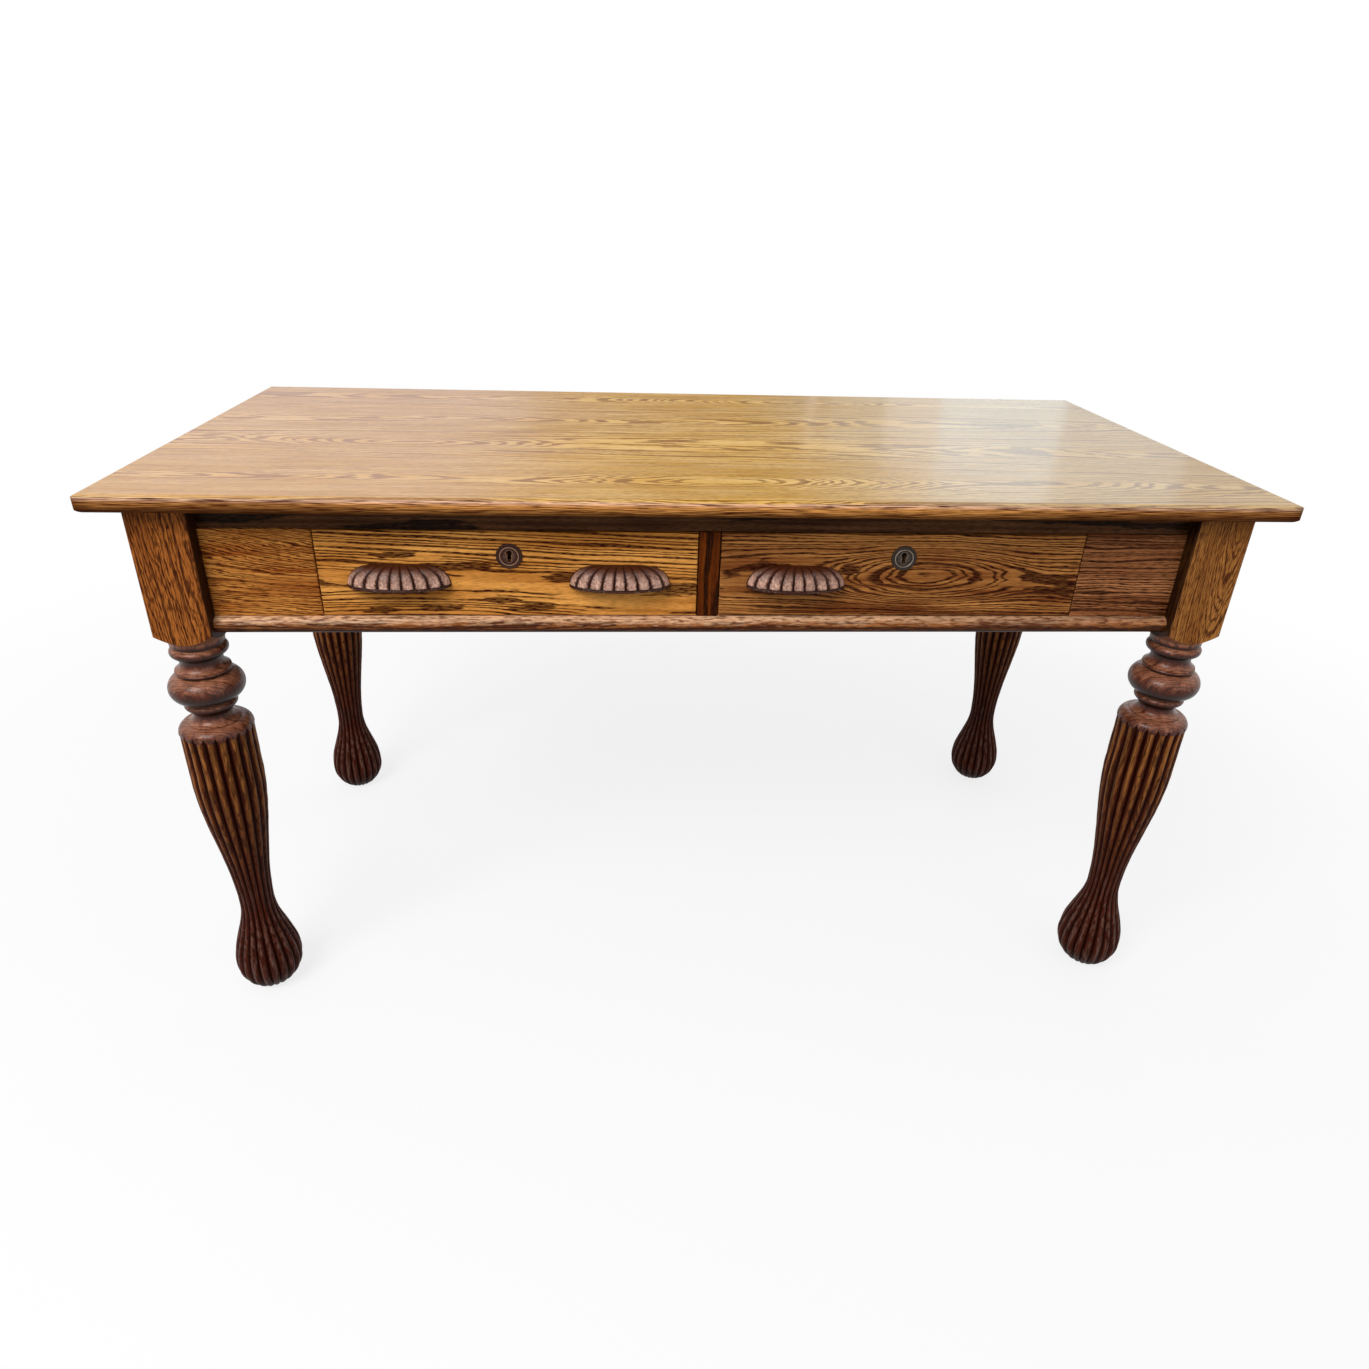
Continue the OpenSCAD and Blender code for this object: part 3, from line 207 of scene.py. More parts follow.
def wood_figure(tree, order, pith, ring, lean=(0, 0), sway=(8, 25), seed=0, bends=2.2, swells=(),
                lenses=(), ragged=0.5, line=0.5):
    """Saws a board out of a round trunk, in millimetres. order names the axes along the grain, across
    it and into the trunk, pith is where the middle of the trunk lies across and into it, and ring is
    the width of a year. The trunk leans, sways and bends, its rings are ragged, and line is the share
    of a year that is early wood. A swell is where the trunk is thicker or thinner, round a bend: its
    middle along and across, its reach both ways, and how much. A lens is where the saw has
    run along one ring: its middle, its reach, and dark (1) or light (0). Gives how dark the early
    wood, the streaks and the pores are, from 0 to 1. Rings are drawn up to twice, and pores about four
    times, as wide as real ones, so that they show."""
    place = put(tree, "TexCoord", out="Object")
    place = put(tree, "VectorMath", {0: place, "Scale": MM_PER_M}, operation="SCALE")
    axes = put(tree, "SeparateXYZ", {0: place}).node.outputs
    grain = put(tree, "CombineXYZ", {i: axes[name] for i, name in enumerate(order)})

    def wander(length, width, shift, detail=1.0, out=0):
        """A noise whose blots are so long along the grain and so wide across it."""
        stretched = put(tree, "VectorMath",
                        {0: grain, 1: (1 / length, 1 / width, 1 / width),
                         2: (seed + shift, shift, seed - shift)}, operation="MULTIPLY_ADD")
        return put(tree, "TexNoise", {"Vector": stretched, "Scale": 1, "Detail": detail}, out=out)

    def share_of_oval(along, across, reach_along, reach_across):
        """How far a point lies from the middle of an oval, 1 on its outline."""
        oval = put(tree, "VectorMath",
                   {0: grain, 1: (1 / reach_along, 1 / reach_across, 0),
                    2: (-along / reach_along, -across / reach_across, 0)}, operation="MULTIPLY_ADD")
        return put(tree, "VectorMath", {0: oval}, out="Value", operation="LENGTH")

    leaning = put(tree, "VectorMath", {0: (0, *lean), "Scale": axes[order[0]]}, operation="SCALE")
    trunk = put(tree, "VectorMath", {0: grain, 1: leaning}, operation="ADD")
    trunk = put(tree, "VectorMath", {0: trunk, 1: (0, -pith[0], -pith[1])}, operation="ADD")
    for length, width, reach in ((420, 70, sway), (75, 12, (bends, bends)), (15, 2.6, (ragged, ragged))):
        bend = (0, 2 * reach[0], 2 * reach[1])
        drift = put(tree, "VectorMath",
                    {0: wander(length, width, length, out="Color"), 1: bend, 2: [-b / 2 for b in bend]},
                    operation="MULTIPLY_ADD")
        trunk = put(tree, "VectorMath", {0: trunk, 1: drift}, operation="ADD")
    section = put(tree, "VectorMath", {0: trunk, 1: (0, 1, 1)}, operation="MULTIPLY")
    radius = put(tree, "VectorMath", {0: section}, out="Value", operation="LENGTH")
    for along, across, reach_along, reach_across, lift in swells:
        near = share_of_oval(along, across, reach_along, reach_across)
        swell = put(tree, "MapRange", {0: near, 3: lift, 4: 0}, interpolation_type="SMOOTHSTEP")
        radius = put(tree, "Math", {0: radius, 1: swell}, operation="ADD")

    # Each year starts sharply with dark early wood, which thins out into late wood. Years differ in
    # width, and the early wood in how broad and how dark it is along the board.
    years = put(tree, "Math", {0: radius, 1: ring}, operation="DIVIDE")
    uneven = put(tree, "TexNoise", {"W": years, "Scale": 0.43, "Detail": 0}, noise_dimensions="1D")
    years = put(tree, "Math", {0: uneven, 1: 1.6, 2: years}, operation="MULTIPLY_ADD")
    season = put(tree, "Math", {0: years}, operation="FRACT")
    breadth = wander(110, 16, 3.7)
    spread = put(tree, "MapRange", {0: breadth, 1: 0.3, 2: 0.7, 3: line - 0.12, 4: line + 0.16})
    fading = put(tree, "Math", {0: spread, 1: 0.15}, operation="SUBTRACT")
    spring = put(tree, "MapRange", {0: season, 1: fading, 2: spread, 3: 1, 4: 0})
    start = put(tree, "MapRange", {0: season, 1: 0.92, 2: 1, 3: 0, 4: 1})
    early = put(tree, "Math", {0: spring, 1: start}, operation="MAXIMUM")
    bold = put(tree, "MapRange", {0: wander(150, 22, 9.1), 1: 0.32, 2: 0.5, 3: 0.75, 4: 1})
    early = put(tree, "Math", {0: early, 1: bold}, operation="MULTIPLY")
    for along, across, reach_along, reach_across, tone in lenses:
        near = share_of_oval(along, across, reach_along, reach_across)
        frayed = wander(24, 3.2, 6.1, 2.0)
        near = put(tree, "Math", {0: frayed, 1: 1.2, 2: near}, operation="MULTIPLY_ADD")
        lens = put(tree, "MapRange", {0: near, 1: 1.3, 2: 1.47, 3: 0.95, 4: 0})
        early = put(tree, "Mix", {0: lens, 2: early, 3: tone})

    pores = put(tree, "MapRange", {0: wander(11, 1.3, 5.3), 1: 0.46, 2: 0.66})
    holes = put(tree, "MapRange", {0: pores, 3: 0.78, 4: 1.2})
    early = put(tree, "Math", {0: early, 1: holes}, operation="MULTIPLY", use_clamp=True)
    narrow, broad = wander(230, 4.5, 7.9, 2.0), wander(140, 26, 2.3)
    streaks = put(tree, "Math", {0: narrow, 1: broad}, operation="ADD")
    streaks = put(tree, "MapRange", {0: streaks, 1: 0.75, 2: 1.25})
    return early, streaks, pores


def planed_wood(name, light, tan, dark, figure, rough=0.45, sheen=0.2, coat=0.1, relief=0.3,
                fleck=0.3, patina=None):
    """Planed wood, stained and varnished. The eye sees light late wood, tan streaks and dark early
    wood, short dashes of open pores, and a soft gloss over it. patina, if given, changes the colour
    and the thickness of the varnish from place to place."""
    material = bpy.data.materials.new(name)
    tree = bare_tree(material)
    early, streaks, pores = wood_figure(tree, **figure)
    late = put(tree, "Mix", {0: streaks, 6: linear(light), 7: linear(tan)}, out=2, data_type="RGBA")
    colour = put(tree, "Mix", {0: early, 6: late, 7: linear(dark)}, out=2, data_type="RGBA")
    flecks = put(tree, "Math", {0: pores, 1: fleck}, operation="MULTIPLY")
    colour = put(tree, "Mix", {0: flecks, 6: colour, 7: linear(dark)}, out=2, data_type="RGBA")
    if patina:
        colour, coat = patina(tree, colour, coat)
    depth = put(tree, "Math", {0: pores, 1: 0.5, 2: early}, operation="MULTIPLY_ADD")
    bump = put(tree, "Bump", {"Strength": relief, "Distance": -PORE_DEPTH, "Height": depth})
    shader = put(tree, "BsdfPrincipled",
                 {"Base Color": colour, "Roughness": rough, "Specular IOR Level": sheen, "Coat Weight": coat,
                  "Coat Roughness": VARNISH_ROUGHNESS, "Normal": bump})
    put(tree, "OutputMaterial", {"Surface": shader})
    return material


def finish(names, material):
    """Gives a material to the nodes of the frame that keep their own shape."""
    for name in names:
        mesh = nodes[name].data
        mesh.materials.clear()
        mesh.materials.append(material)


def varnish_wear_and_painted_light(tree, colour, coat):
    """A painted reflection of the sky tints the left pinkish, the middle stays clear gold, where the
    varnish is thin, and a painted reflection of the windows pales a stretch at the right. Below the
    upper arris the edge keeps the old dark stain, painted darker towards its underside as shade, and
    scuffs about 36 mm long have worn it back to bare wood, most where people sat and least on the end
    grain; along the upper arris the bare wood is painted pinkish as a highlight."""
    place = put(tree, "TexCoord", out="Object")
    wavy = put(tree, "TexNoise", {"Vector": place, "Scale": WAVY_PER_M, "Detail": 2.0}, out="Color")
    wavy = put(tree, "VectorMath",
               {0: wavy, 1: (WAVY_REACH, WAVY_REACH, 0), 2: (-WAVY_REACH / 2, -WAVY_REACH / 2, 0)},
               operation="MULTIPLY_ADD")
    shifted = put(tree, "VectorMath", {0: place, 1: wavy}, operation="ADD")
    along = put(tree, "SeparateXYZ", {0: shifted}, out="X")
    left = put(tree, "MapRange", {0: along, 1: SKY_REFLECTION_FULL_X, 2: SKY_REFLECTION_GONE_X, 3: 1, 4: 0},
               interpolation_type="SMOOTHSTEP")
    far = put(tree, "MapRange", {0: along, 1: WINDOW_REFLECTION_START_X, 2: WINDOW_REFLECTION_FULL_X},
              interpolation_type="SMOOTHSTEP")
    # Painted reflection of the pale sky: a pinkish tint over the left of the top.
    sky_reflection = put(tree, "Math", {0: left, 1: SKY_REFLECTION}, operation="MULTIPLY")
    colour = put(tree, "Mix", {0: sky_reflection, 6: colour, 7: linear("#c69a82")}, out=2, data_type="RGBA")
    # Painted reflection of the windows: a pale tint over the right of the top.
    window_reflection = put(tree, "Math", {0: far, 1: WINDOW_REFLECTION}, operation="MULTIPLY")
    colour = put(tree, "Mix", {0: window_reflection, 6: colour, 7: linear("#c0b4a4")}, out=2, data_type="RGBA")
    kept = put(tree, "Math", {0: left, 1: far}, operation="MAXIMUM")
    kept = put(tree, "MapRange", {0: kept, 3: coat / 3, 4: coat})

    height = put(tree, "SeparateXYZ", {0: place}, out="Z")
    scuffs = put(tree, "VectorMath", {0: place, 1: EDGE_SCUFFS_PER_M}, operation="MULTIPLY")
    scuffs = put(tree, "TexNoise", {"Vector": scuffs, "Scale": 1, "Detail": 4})
    bare = put(tree, "MapRange", {0: scuffs, 1: 0.42, 2: 0.64})
    from_middle = put(tree, "SeparateXYZ", {0: place}, out="X")
    from_middle = put(tree, "Math", {0: from_middle}, operation="ABSOLUTE")
    # On the edge less stain is worn off low down, which also paints the edge darker towards its underside as
    # shade; across the top the wear follows the end grain and where people sat.
    for where, (low, high, wear_and_light_low, wear_and_light_high), ramp in ((height, EDGE_WEAR_AND_SHADE, "LINEAR"),
                                                          (from_middle, END_GRAIN_WEAR, "LINEAR"),
                                                          (from_middle, SITTERS_WEAR, "SMOOTHSTEP")):
        rubbed = put(tree, "MapRange", {0: where, 1: low, 2: high, 3: wear_and_light_low, 4: wear_and_light_high},
                     interpolation_type=ramp)
        bare = put(tree, "Math", {0: bare, 1: rubbed}, operation="MULTIPLY")
    # Bare wood on the edge turns from gold to pink towards the upper arris: partly wear, partly a painted
    # highlight.
    upper = put(tree, "MapRange", {0: height, 1: ARRIS_HIGHLIGHT_LOW_Z, 2: ARRIS_HIGHLIGHT_Z})
    worn = put(tree, "Mix", {0: upper, 6: linear("#e69e54"), 7: linear("#f8d2bc")}, out=2, data_type="RGBA")
    stained = put(tree, "Mix", {0: bare, 6: linear("#441404"), 7: worn}, out=2, data_type="RGBA")
    edge = put(tree, "Math", {0: scuffs, 1: 0.009, 2: height}, operation="MULTIPLY_ADD")
    edge = put(tree, "MapRange", {0: edge, 1: STAIN_FULL_Z, 2: STAIN_GONE_Z, 3: 1, 4: 0})
    edge_coat = put(tree, "MapRange", {0: edge, 3: 1, 4: 0.06})
    kept = put(tree, "Math", {0: kept, 1: edge_coat}, operation="MULTIPLY")
    return put(tree, "Mix", {0: edge, 6: colour, 7: stained}, out=2, data_type="RGBA"), kept


top_figures = {
    "top_front_board": dict(pith=(-250, 716), ring=3.0, lean=(0.01, 0.04), sway=(10, 9),
                            swells=((40, -245, 330, 110, -34), (460, -230, 220, 60, -12))),
    "top_second_board": dict(pith=(-60, 680), ring=3.2, lean=(0.02, -0.02), sway=(12, 10),
                             swells=((-400, -70, 260, 60, -22),)),
    "top_third_board": dict(pith=(92, 690), ring=3.1, lean=(-0.02, 0.03), sway=(10, 10),
                            swells=((-330, 100, 260, 60, -16),)),
    "top_back_board": dict(pith=(262, 712), ring=3.0, lean=(0.01, -0.03), sway=(10, 9),
                           swells=((140, 262, 330, 80, -26),)),
}
for seed, (name, figure) in enumerate(top_figures.items()):
    board = planed_wood(f"varnished oak, {name.replace('_', ' ')}", "#ecc47c", "#daa848", "#8a5a12",
                        dict(order="XYZ", seed=3.1 * seed + 1.3, line=0.46, **figure),
                        rough=0.4, sheen=0, coat=0.5, relief=0.12, patina=varnish_wear_and_painted_light)
    finish([name], board)


# Each leg is one piece of oak, a square block over turned rings, a body with reeds carved down its
# length, and a reeded ball foot. The stain lies dark in the grooves and has worn off the crests. The
# turned rings and the dome are painted lighter on their upper faces, as a highlight, and darker on
# their undersides, as shade.
# Sizes are in millimetres from the floor and from the leg's middle, and wear heights in metres.
LEG_X, LEG_Y = 636, 270
BLOCK_HALF = 35
BLOCK_ROUND = 2
BLOCK_TOP = 740
REEDS = 20
REED_COLUMNS = 10
REED_DEPTH = 4.5
REED_SUNK = 0.25
REED_RUNOUT, RUNOUT_DEPTH = 22, 0.45
REED_WEAR, REED_WEAR_OUT = 0.35, 0.2
LUMPS_ROUND, LUMP_LONG = 8, 14
FOOT_R, FOOT_Z, FOOT_CURVE = 46, 43, 50
ANKLE_R, ANKLE_Z = 23.5, 148
BODY_R, BODY_Z = 45.2, 367.9
DOME_R, DOME_Z, DOME_BEND, DOME_LIP = 33.5, 436.9, 12, 0.5
SCALLOP_LOW, SCALLOP_RISE = 434.6, 6.4
CONE_LOW, CONE_HIGH = (32.5, 565.7), (50.5, 581.0)
SHOULDER_START = (32, 562)
CORNER_TURNS = (-1.2, -0.6, 0.6, 1.2)
FOOT_ROWS, ANKLE_ROWS, BODY_ROWS, SCALLOP_ROWS = 14, 24, 46, 18
DOME_ROWS, SHOULDER_ROWS, BLOCK_ROWS = 8, 4, 12
LEG_SMOOTH = 38


def round_ring(core, bend, middle, first=-90, last=90, steps=12):
    """Radius and height along a half round ring."""
    turns = [math.radians(first + (last - first) * i / steps) for i in range(steps + 1)]
    return [(core + bend * math.cos(t), middle + bend * math.sin(t)) for t in turns]


def hollow_ring(least, cutter, middle, low, high, steps=12):
    """Radius and height along a hollow that a round cutter has swept."""
    heights = [low + (high - low) * i / steps for i in range(steps + 1)]
    return [(least + cutter - math.sqrt(cutter ** 2 - (z - middle) ** 2), z) for z in heights]


# From the dome up: a fine groove, a hollow, a bead, the large ring, a bead, a hollow, a ring and the
# fillet under the shoulder.
turned_rings = [
    (31.2, 448.9), (30.8, 449.3), (30.8, 449.8), (31.2, 450.1),
    *hollow_ring(23.5, 11, 460.8, 450.1, 468.86, 16),
    *round_ring(27, 5, 473.86, last=66),
    (29, 478.6), (29, 480.8),
    *round_ring(27, 18.5, 499.36, -83, 83, 36),
    (29, 517.9), (29, 519.3),
    *round_ring(31, 2.5, 521.86, last=50, steps=9),
    *hollow_ring(25.5, 12, 535.67, 524.6, 543, 18),
    *round_ring(28, 6.5, 549.5, last=80, steps=14),
    (29, 556.1), (29, 559), (31.4, 559), (32, 559.6),
]


def ease(low, high, share):
    """Goes from low to high with a level start and end."""
    return low + (high - low) * (1 - math.cos(math.pi * share)) / 2


def crest_radius(z):
    """Radius over the crests of the reeds at a height."""
    if z < FOOT_Z:
        return FOOT_R * math.sqrt(1 - ((FOOT_Z - z) / FOOT_CURVE) ** 2)
    if z < ANKLE_Z:
        return ease(FOOT_R, ANKLE_R, (z - FOOT_Z) / (ANKLE_Z - FOOT_Z))
    if z < BODY_Z:
        return ease(ANKLE_R, BODY_R, (z - ANKLE_Z) / (BODY_Z - ANKLE_Z))
    dome = DOME_R + math.sqrt(max(DOME_BEND ** 2 - max(z - DOME_Z, 0) ** 2, 0))
    return min(BODY_R, dome - DOME_LIP)


def square_radius(turn):
    """Distance from the middle of the block to its side, with rounded corners."""
    fold = abs((turn + math.pi / 4) % (math.pi / 2) - math.pi / 4)
    straight = BLOCK_HALF - BLOCK_ROUND
    if BLOCK_HALF * math.tan(fold) <= straight:
        return BLOCK_HALF / math.cos(fold)
    reach = straight * (math.cos(fold) + math.sin(fold))
    return reach + math.sqrt(reach ** 2 - 2 * straight ** 2 + BLOCK_ROUND ** 2)


def grid_faces(rows, columns, closed=True):
    """Faces between rows of points that run anticlockwise, from the lowest row up."""
    return [(row * columns + i, row * columns + (i + 1) % columns,
             (row + 1) * columns + (i + 1) % columns, (row + 1) * columns + i)
            for row in range(rows - 1) for i in range(columns if closed else columns - 1)]


def give_crests(piece, crests):
    """Keeps a value for each point, from 0 to 1, for its material: on carved parts how far the point
    stands out of the grooves, and on the turned rings and dome how much it faces up, which paints a
    highlight on upper faces and shade on lower ones.
    """
    kept = piece.data.attributes.new("crest", "FLOAT", "POINT")
    kept.data.foreach_set("value", crests)


def leg_mesh(name, seed, materials):
    """Builds a leg in rows from the foot up, with the reeds, turned rings and block each in its own
    material. On the rings the crest value grows with how much a face looks up, and on the dome towards
    its top, so that upper faces take a painted highlight and undersides painted shade."""
    turns = [2 * math.pi * i / (REEDS * REED_COLUMNS) for i in range(REEDS * REED_COLUMNS)]
    turns = sorted(turns + [math.radians(45 + 90 * q + off) for q in range(4) for off in CORNER_TURNS])
    acrosses = [2 * (turn * REEDS / (2 * math.pi) % 1) - 1 for turn in turns]
    count = len(turns)
    heights = ([FOOT_Z * (1 - math.cos(math.pi / 2 * i / FOOT_ROWS)) for i in range(FOOT_ROWS)]
               + [FOOT_Z + (ANKLE_Z - FOOT_Z) * i / ANKLE_ROWS for i in range(ANKLE_ROWS)]
               + [ANKLE_Z + (BODY_Z - ANKLE_Z) * i / BODY_ROWS for i in range(BODY_ROWS)])
    edges = [SCALLOP_LOW + SCALLOP_RISE * abs(a) ** 2.6 for a in acrosses]
    points, crests = [], []

    def add_row(column_points, row_crests):
        """Adds one ring of points, given as radius and height for each column."""
        points.extend((r * math.cos(t), r * math.sin(t), z) for t, (r, z) in zip(turns, column_points))
        crests.extend(row_crests)

    def reed_point(i, z):
        """Radius and height on a reed, shallower at its end and unevenly worn."""
        widest = crest_radius(z)
        depth = REED_DEPTH * min(crest_radius(min(z, BODY_Z)) / BODY_R, 1)
        depth *= RUNOUT_DEPTH + (1 - RUNOUT_DEPTH) * min(max((edges[i] - z) / REED_RUNOUT, 0), 1)
        lump = (LUMPS_ROUND * math.cos(turns[i]) + seed, LUMPS_ROUND * math.sin(turns[i]), z / LUMP_LONG)
        wear = REED_WEAR * noise.noise(Vector(lump))
        return widest - REED_SUNK + min(wear, REED_WEAR_OUT) - depth * acrosses[i] ** 2, z

    reed_crests = [0.88 * (1 - abs(a) ** 1.4) for a in acrosses]
    for z in heights:
        add_row([reed_point(i, z) for i in range(count)], reed_crests)
    for step in range(SCALLOP_ROWS + 1):
        add_row([reed_point(i, BODY_Z + (edges[i] - BODY_Z) * step / SCALLOP_ROWS) for i in range(count)],
                reed_crests)
    reeded_rows = len(points) // count - 1
    starts = [math.asin((edge - DOME_Z) / DOME_BEND) for edge in edges]
    # The dome is painted lighter towards its top, as a highlight.
    for step in range(DOME_ROWS + 1):
        bends = [start + (math.pi / 2 - start) * step / DOME_ROWS for start in starts]
        add_row([(DOME_R + DOME_BEND * math.cos(b), DOME_Z + DOME_BEND * math.sin(b)) for b in bends],
                [0.4 + 0.55 * step / DOME_ROWS] * count)
    above_rings = turned_rings[2:] + [SHOULDER_START]
    # Each ring face is painted lighter the more it faces up and darker the more it faces down: painted
    # highlight and shade.
    for (below, low), (radius, z), (above, high) in zip(turned_rings, turned_rings[1:], above_rings):
        faces_up = (below - above) / math.hypot(below - above, high - low)
        add_row([(radius, z)] * count, [0.36 + 0.6 * faces_up] * count)
    slope = (CONE_HIGH[0] - CONE_LOW[0]) / (CONE_HIGH[1] - CONE_LOW[1])
    for step in range(SHOULDER_ROWS + 1):
        radii = [CONE_LOW[0] + (square_radius(turn) - CONE_LOW[0]) * step / SHOULDER_ROWS for turn in turns]
        add_row([(r, CONE_LOW[1] + (r - CONE_LOW[0]) / slope) for r in radii], [1] * count)
    block_row = len(points) // count - 1
    arrises = [(square_radius(t), CONE_LOW[1] + (square_radius(t) - CONE_LOW[0]) / slope) for t in turns]
    for step in range(1, BLOCK_ROWS + 1):
        add_row([(r, z + (BLOCK_TOP - z) * step / BLOCK_ROWS) for r, z in arrises], [1] * count)

    rows = len(points) // count
    faces = grid_faces(rows, count)
    faces.append(tuple(reversed(range(count))))
    faces.append(tuple(range((rows - 1) * count, rows * count)))
    piece = new_piece(name, [Vector(p) / MM_PER_M for p in points], faces, materials[0], LEG_SMOOTH)
    for material in materials[1:]:
        piece.data.materials.append(material)
    row_kinds = [0] * reeded_rows + [1] * (block_row - reeded_rows) + [2] * (rows - 1 - block_row)
    kinds = [kind for kind in row_kinds for _ in range(count)] + [0, 2]
    piece.data.polygons.foreach_set("material_index", kinds)
    give_crests(piece, crests)
    return piece


FOOT_SCUFF_SHEEN_PER_M = (320, 320, 40)
SCUFF_SHEEN_Z, SCUFF_SHEEN_END_Z, SCUFF_SHEEN = 0.1, 0.22, 0.34
SOLE_SHADOW_Z, SOLE_SHADOW_END_Z, SOLE_SHADOW = 0.004, 0.03, 0.8
CARVED_PORE_DEPTH = 0.0005
RUBBED_ROUGHNESS = 0.25


def carved_wood(name, groove, stain, worn, wear_and_light_low, wear_and_light_high, figure, rough=0.42, sheen=0.04,
                coat=0.03, grain=0.75, mottle_per_m=(130, 130, 40)):
    """Carved or turned hardwood under dark stain. The eye sees nearly black grooves, crests that are
    worn in patches to the wood's own colour above a height in metres, and a dull gloss. Where the
    crest value says how much a face looks up, as on the turned rings, the worn tone is a painted
    highlight and the groove tone painted shade. Near the floor, grey patches about 3 mm wide and 25 mm
    long on the crests are partly scuffs and partly a painted sheen, and the sole is painted dark as
    its shadow on the floor. mottle_per_m is how many worn patches go in a metre."""
    material = bpy.data.materials.new(name)
    tree = bare_tree(material)
    early, streaks, pores = wood_figure(tree, **figure)
    crest = put(tree, "Attribute", attribute_name="crest").node.outputs["Fac"]
    place = put(tree, "TexCoord", out="Object")
    height = put(tree, "SeparateXYZ", {0: place}, out="Z")
    rubbed = put(tree, "MapRange", {0: height, 1: wear_and_light_low, 2: wear_and_light_high},
                 interpolation_type="SMOOTHSTEP")
    patches = put(tree, "VectorMath", {0: place, 1: mottle_per_m}, operation="MULTIPLY")
    patches = put(tree, "TexNoise", {"Vector": patches, "Scale": 1, "Detail": 3})
    # Worn tone where crest and patches are high: wear on the reeds, and a painted highlight on the upper
    # faces of the rings and on the lower lobes of the pulls.
    high = put(tree, "Math", {0: crest, 1: patches}, operation="ADD")
    high = put(tree, "MapRange", {0: high, 1: 0.95, 2: 1.5})
    rubbed = put(tree, "Math", {0: high, 1: rubbed}, operation="MULTIPLY")
    ringed = put(tree, "Math", {0: early, 1: grain}, operation="MULTIPLY")
    # Groove tone where the crest value is low: stain in the grooves of the reeds, painted shade on the
    # undersides of the turned rings.
    deep = put(tree, "MapRange", {0: crest, 1: 0.05, 2: 0.55, 3: 1, 4: 0})
    # Grey patches on the crests near the floor: partly scuffs, partly a painted sheen.
    low = put(tree, "MapRange", {0: height, 1: SCUFF_SHEEN_Z, 2: SCUFF_SHEEN_END_Z, 3: SCUFF_SHEEN, 4: 0})
    scuffs = put(tree, "VectorMath", {0: place, 1: FOOT_SCUFF_SHEEN_PER_M}, operation="MULTIPLY")
    scuffs = put(tree, "TexNoise", {"Vector": scuffs, "Scale": 1, "Detail": 3})
    scuffs = put(tree, "Math", {0: crest, 1: 0.4, 2: scuffs}, operation="MULTIPLY_ADD")
    scuffs = put(tree, "MapRange", {0: scuffs, 1: 0.72, 2: 1.0})
    scuffs = put(tree, "Math", {0: scuffs, 1: low}, operation="MULTIPLY")
    # Painted shadow: the sole is darkened towards the floor.
    sole_shadow = put(tree, "MapRange", {0: height, 1: SOLE_SHADOW_Z, 2: SOLE_SHADOW_END_Z, 3: SOLE_SHADOW, 4: 0})
    colour = linear(stain)
    layers = ((rubbed, worn), (ringed, groove), (deep, groove), (scuffs, "#9a7a6c"), (sole_shadow, "#120402"))
    for share, tone in layers:
        colour = put(tree, "Mix", {0: share, 6: colour, 7: linear(tone)}, out=2, data_type="RGBA")
    lines = put(tree, "Math", {0: pores, 1: 0.5, 2: early}, operation="MULTIPLY_ADD")
    bump = put(tree, "Bump", {"Strength": 0.35, "Distance": -CARVED_PORE_DEPTH, "Height": lines})
    shader = put(tree, "BsdfPrincipled",
                 {"Base Color": colour, "Roughness": rough, "Specular IOR Level": sheen, "Coat Weight": coat,
                  "Coat Roughness": RUBBED_ROUGHNESS, "Normal": bump})
    put(tree, "OutputMaterial", {"Surface": shader})
    return material


CORNER_X, INNER_SIDE_X, INNER_DARKENING = 0.0325, 0.0345, 0.9

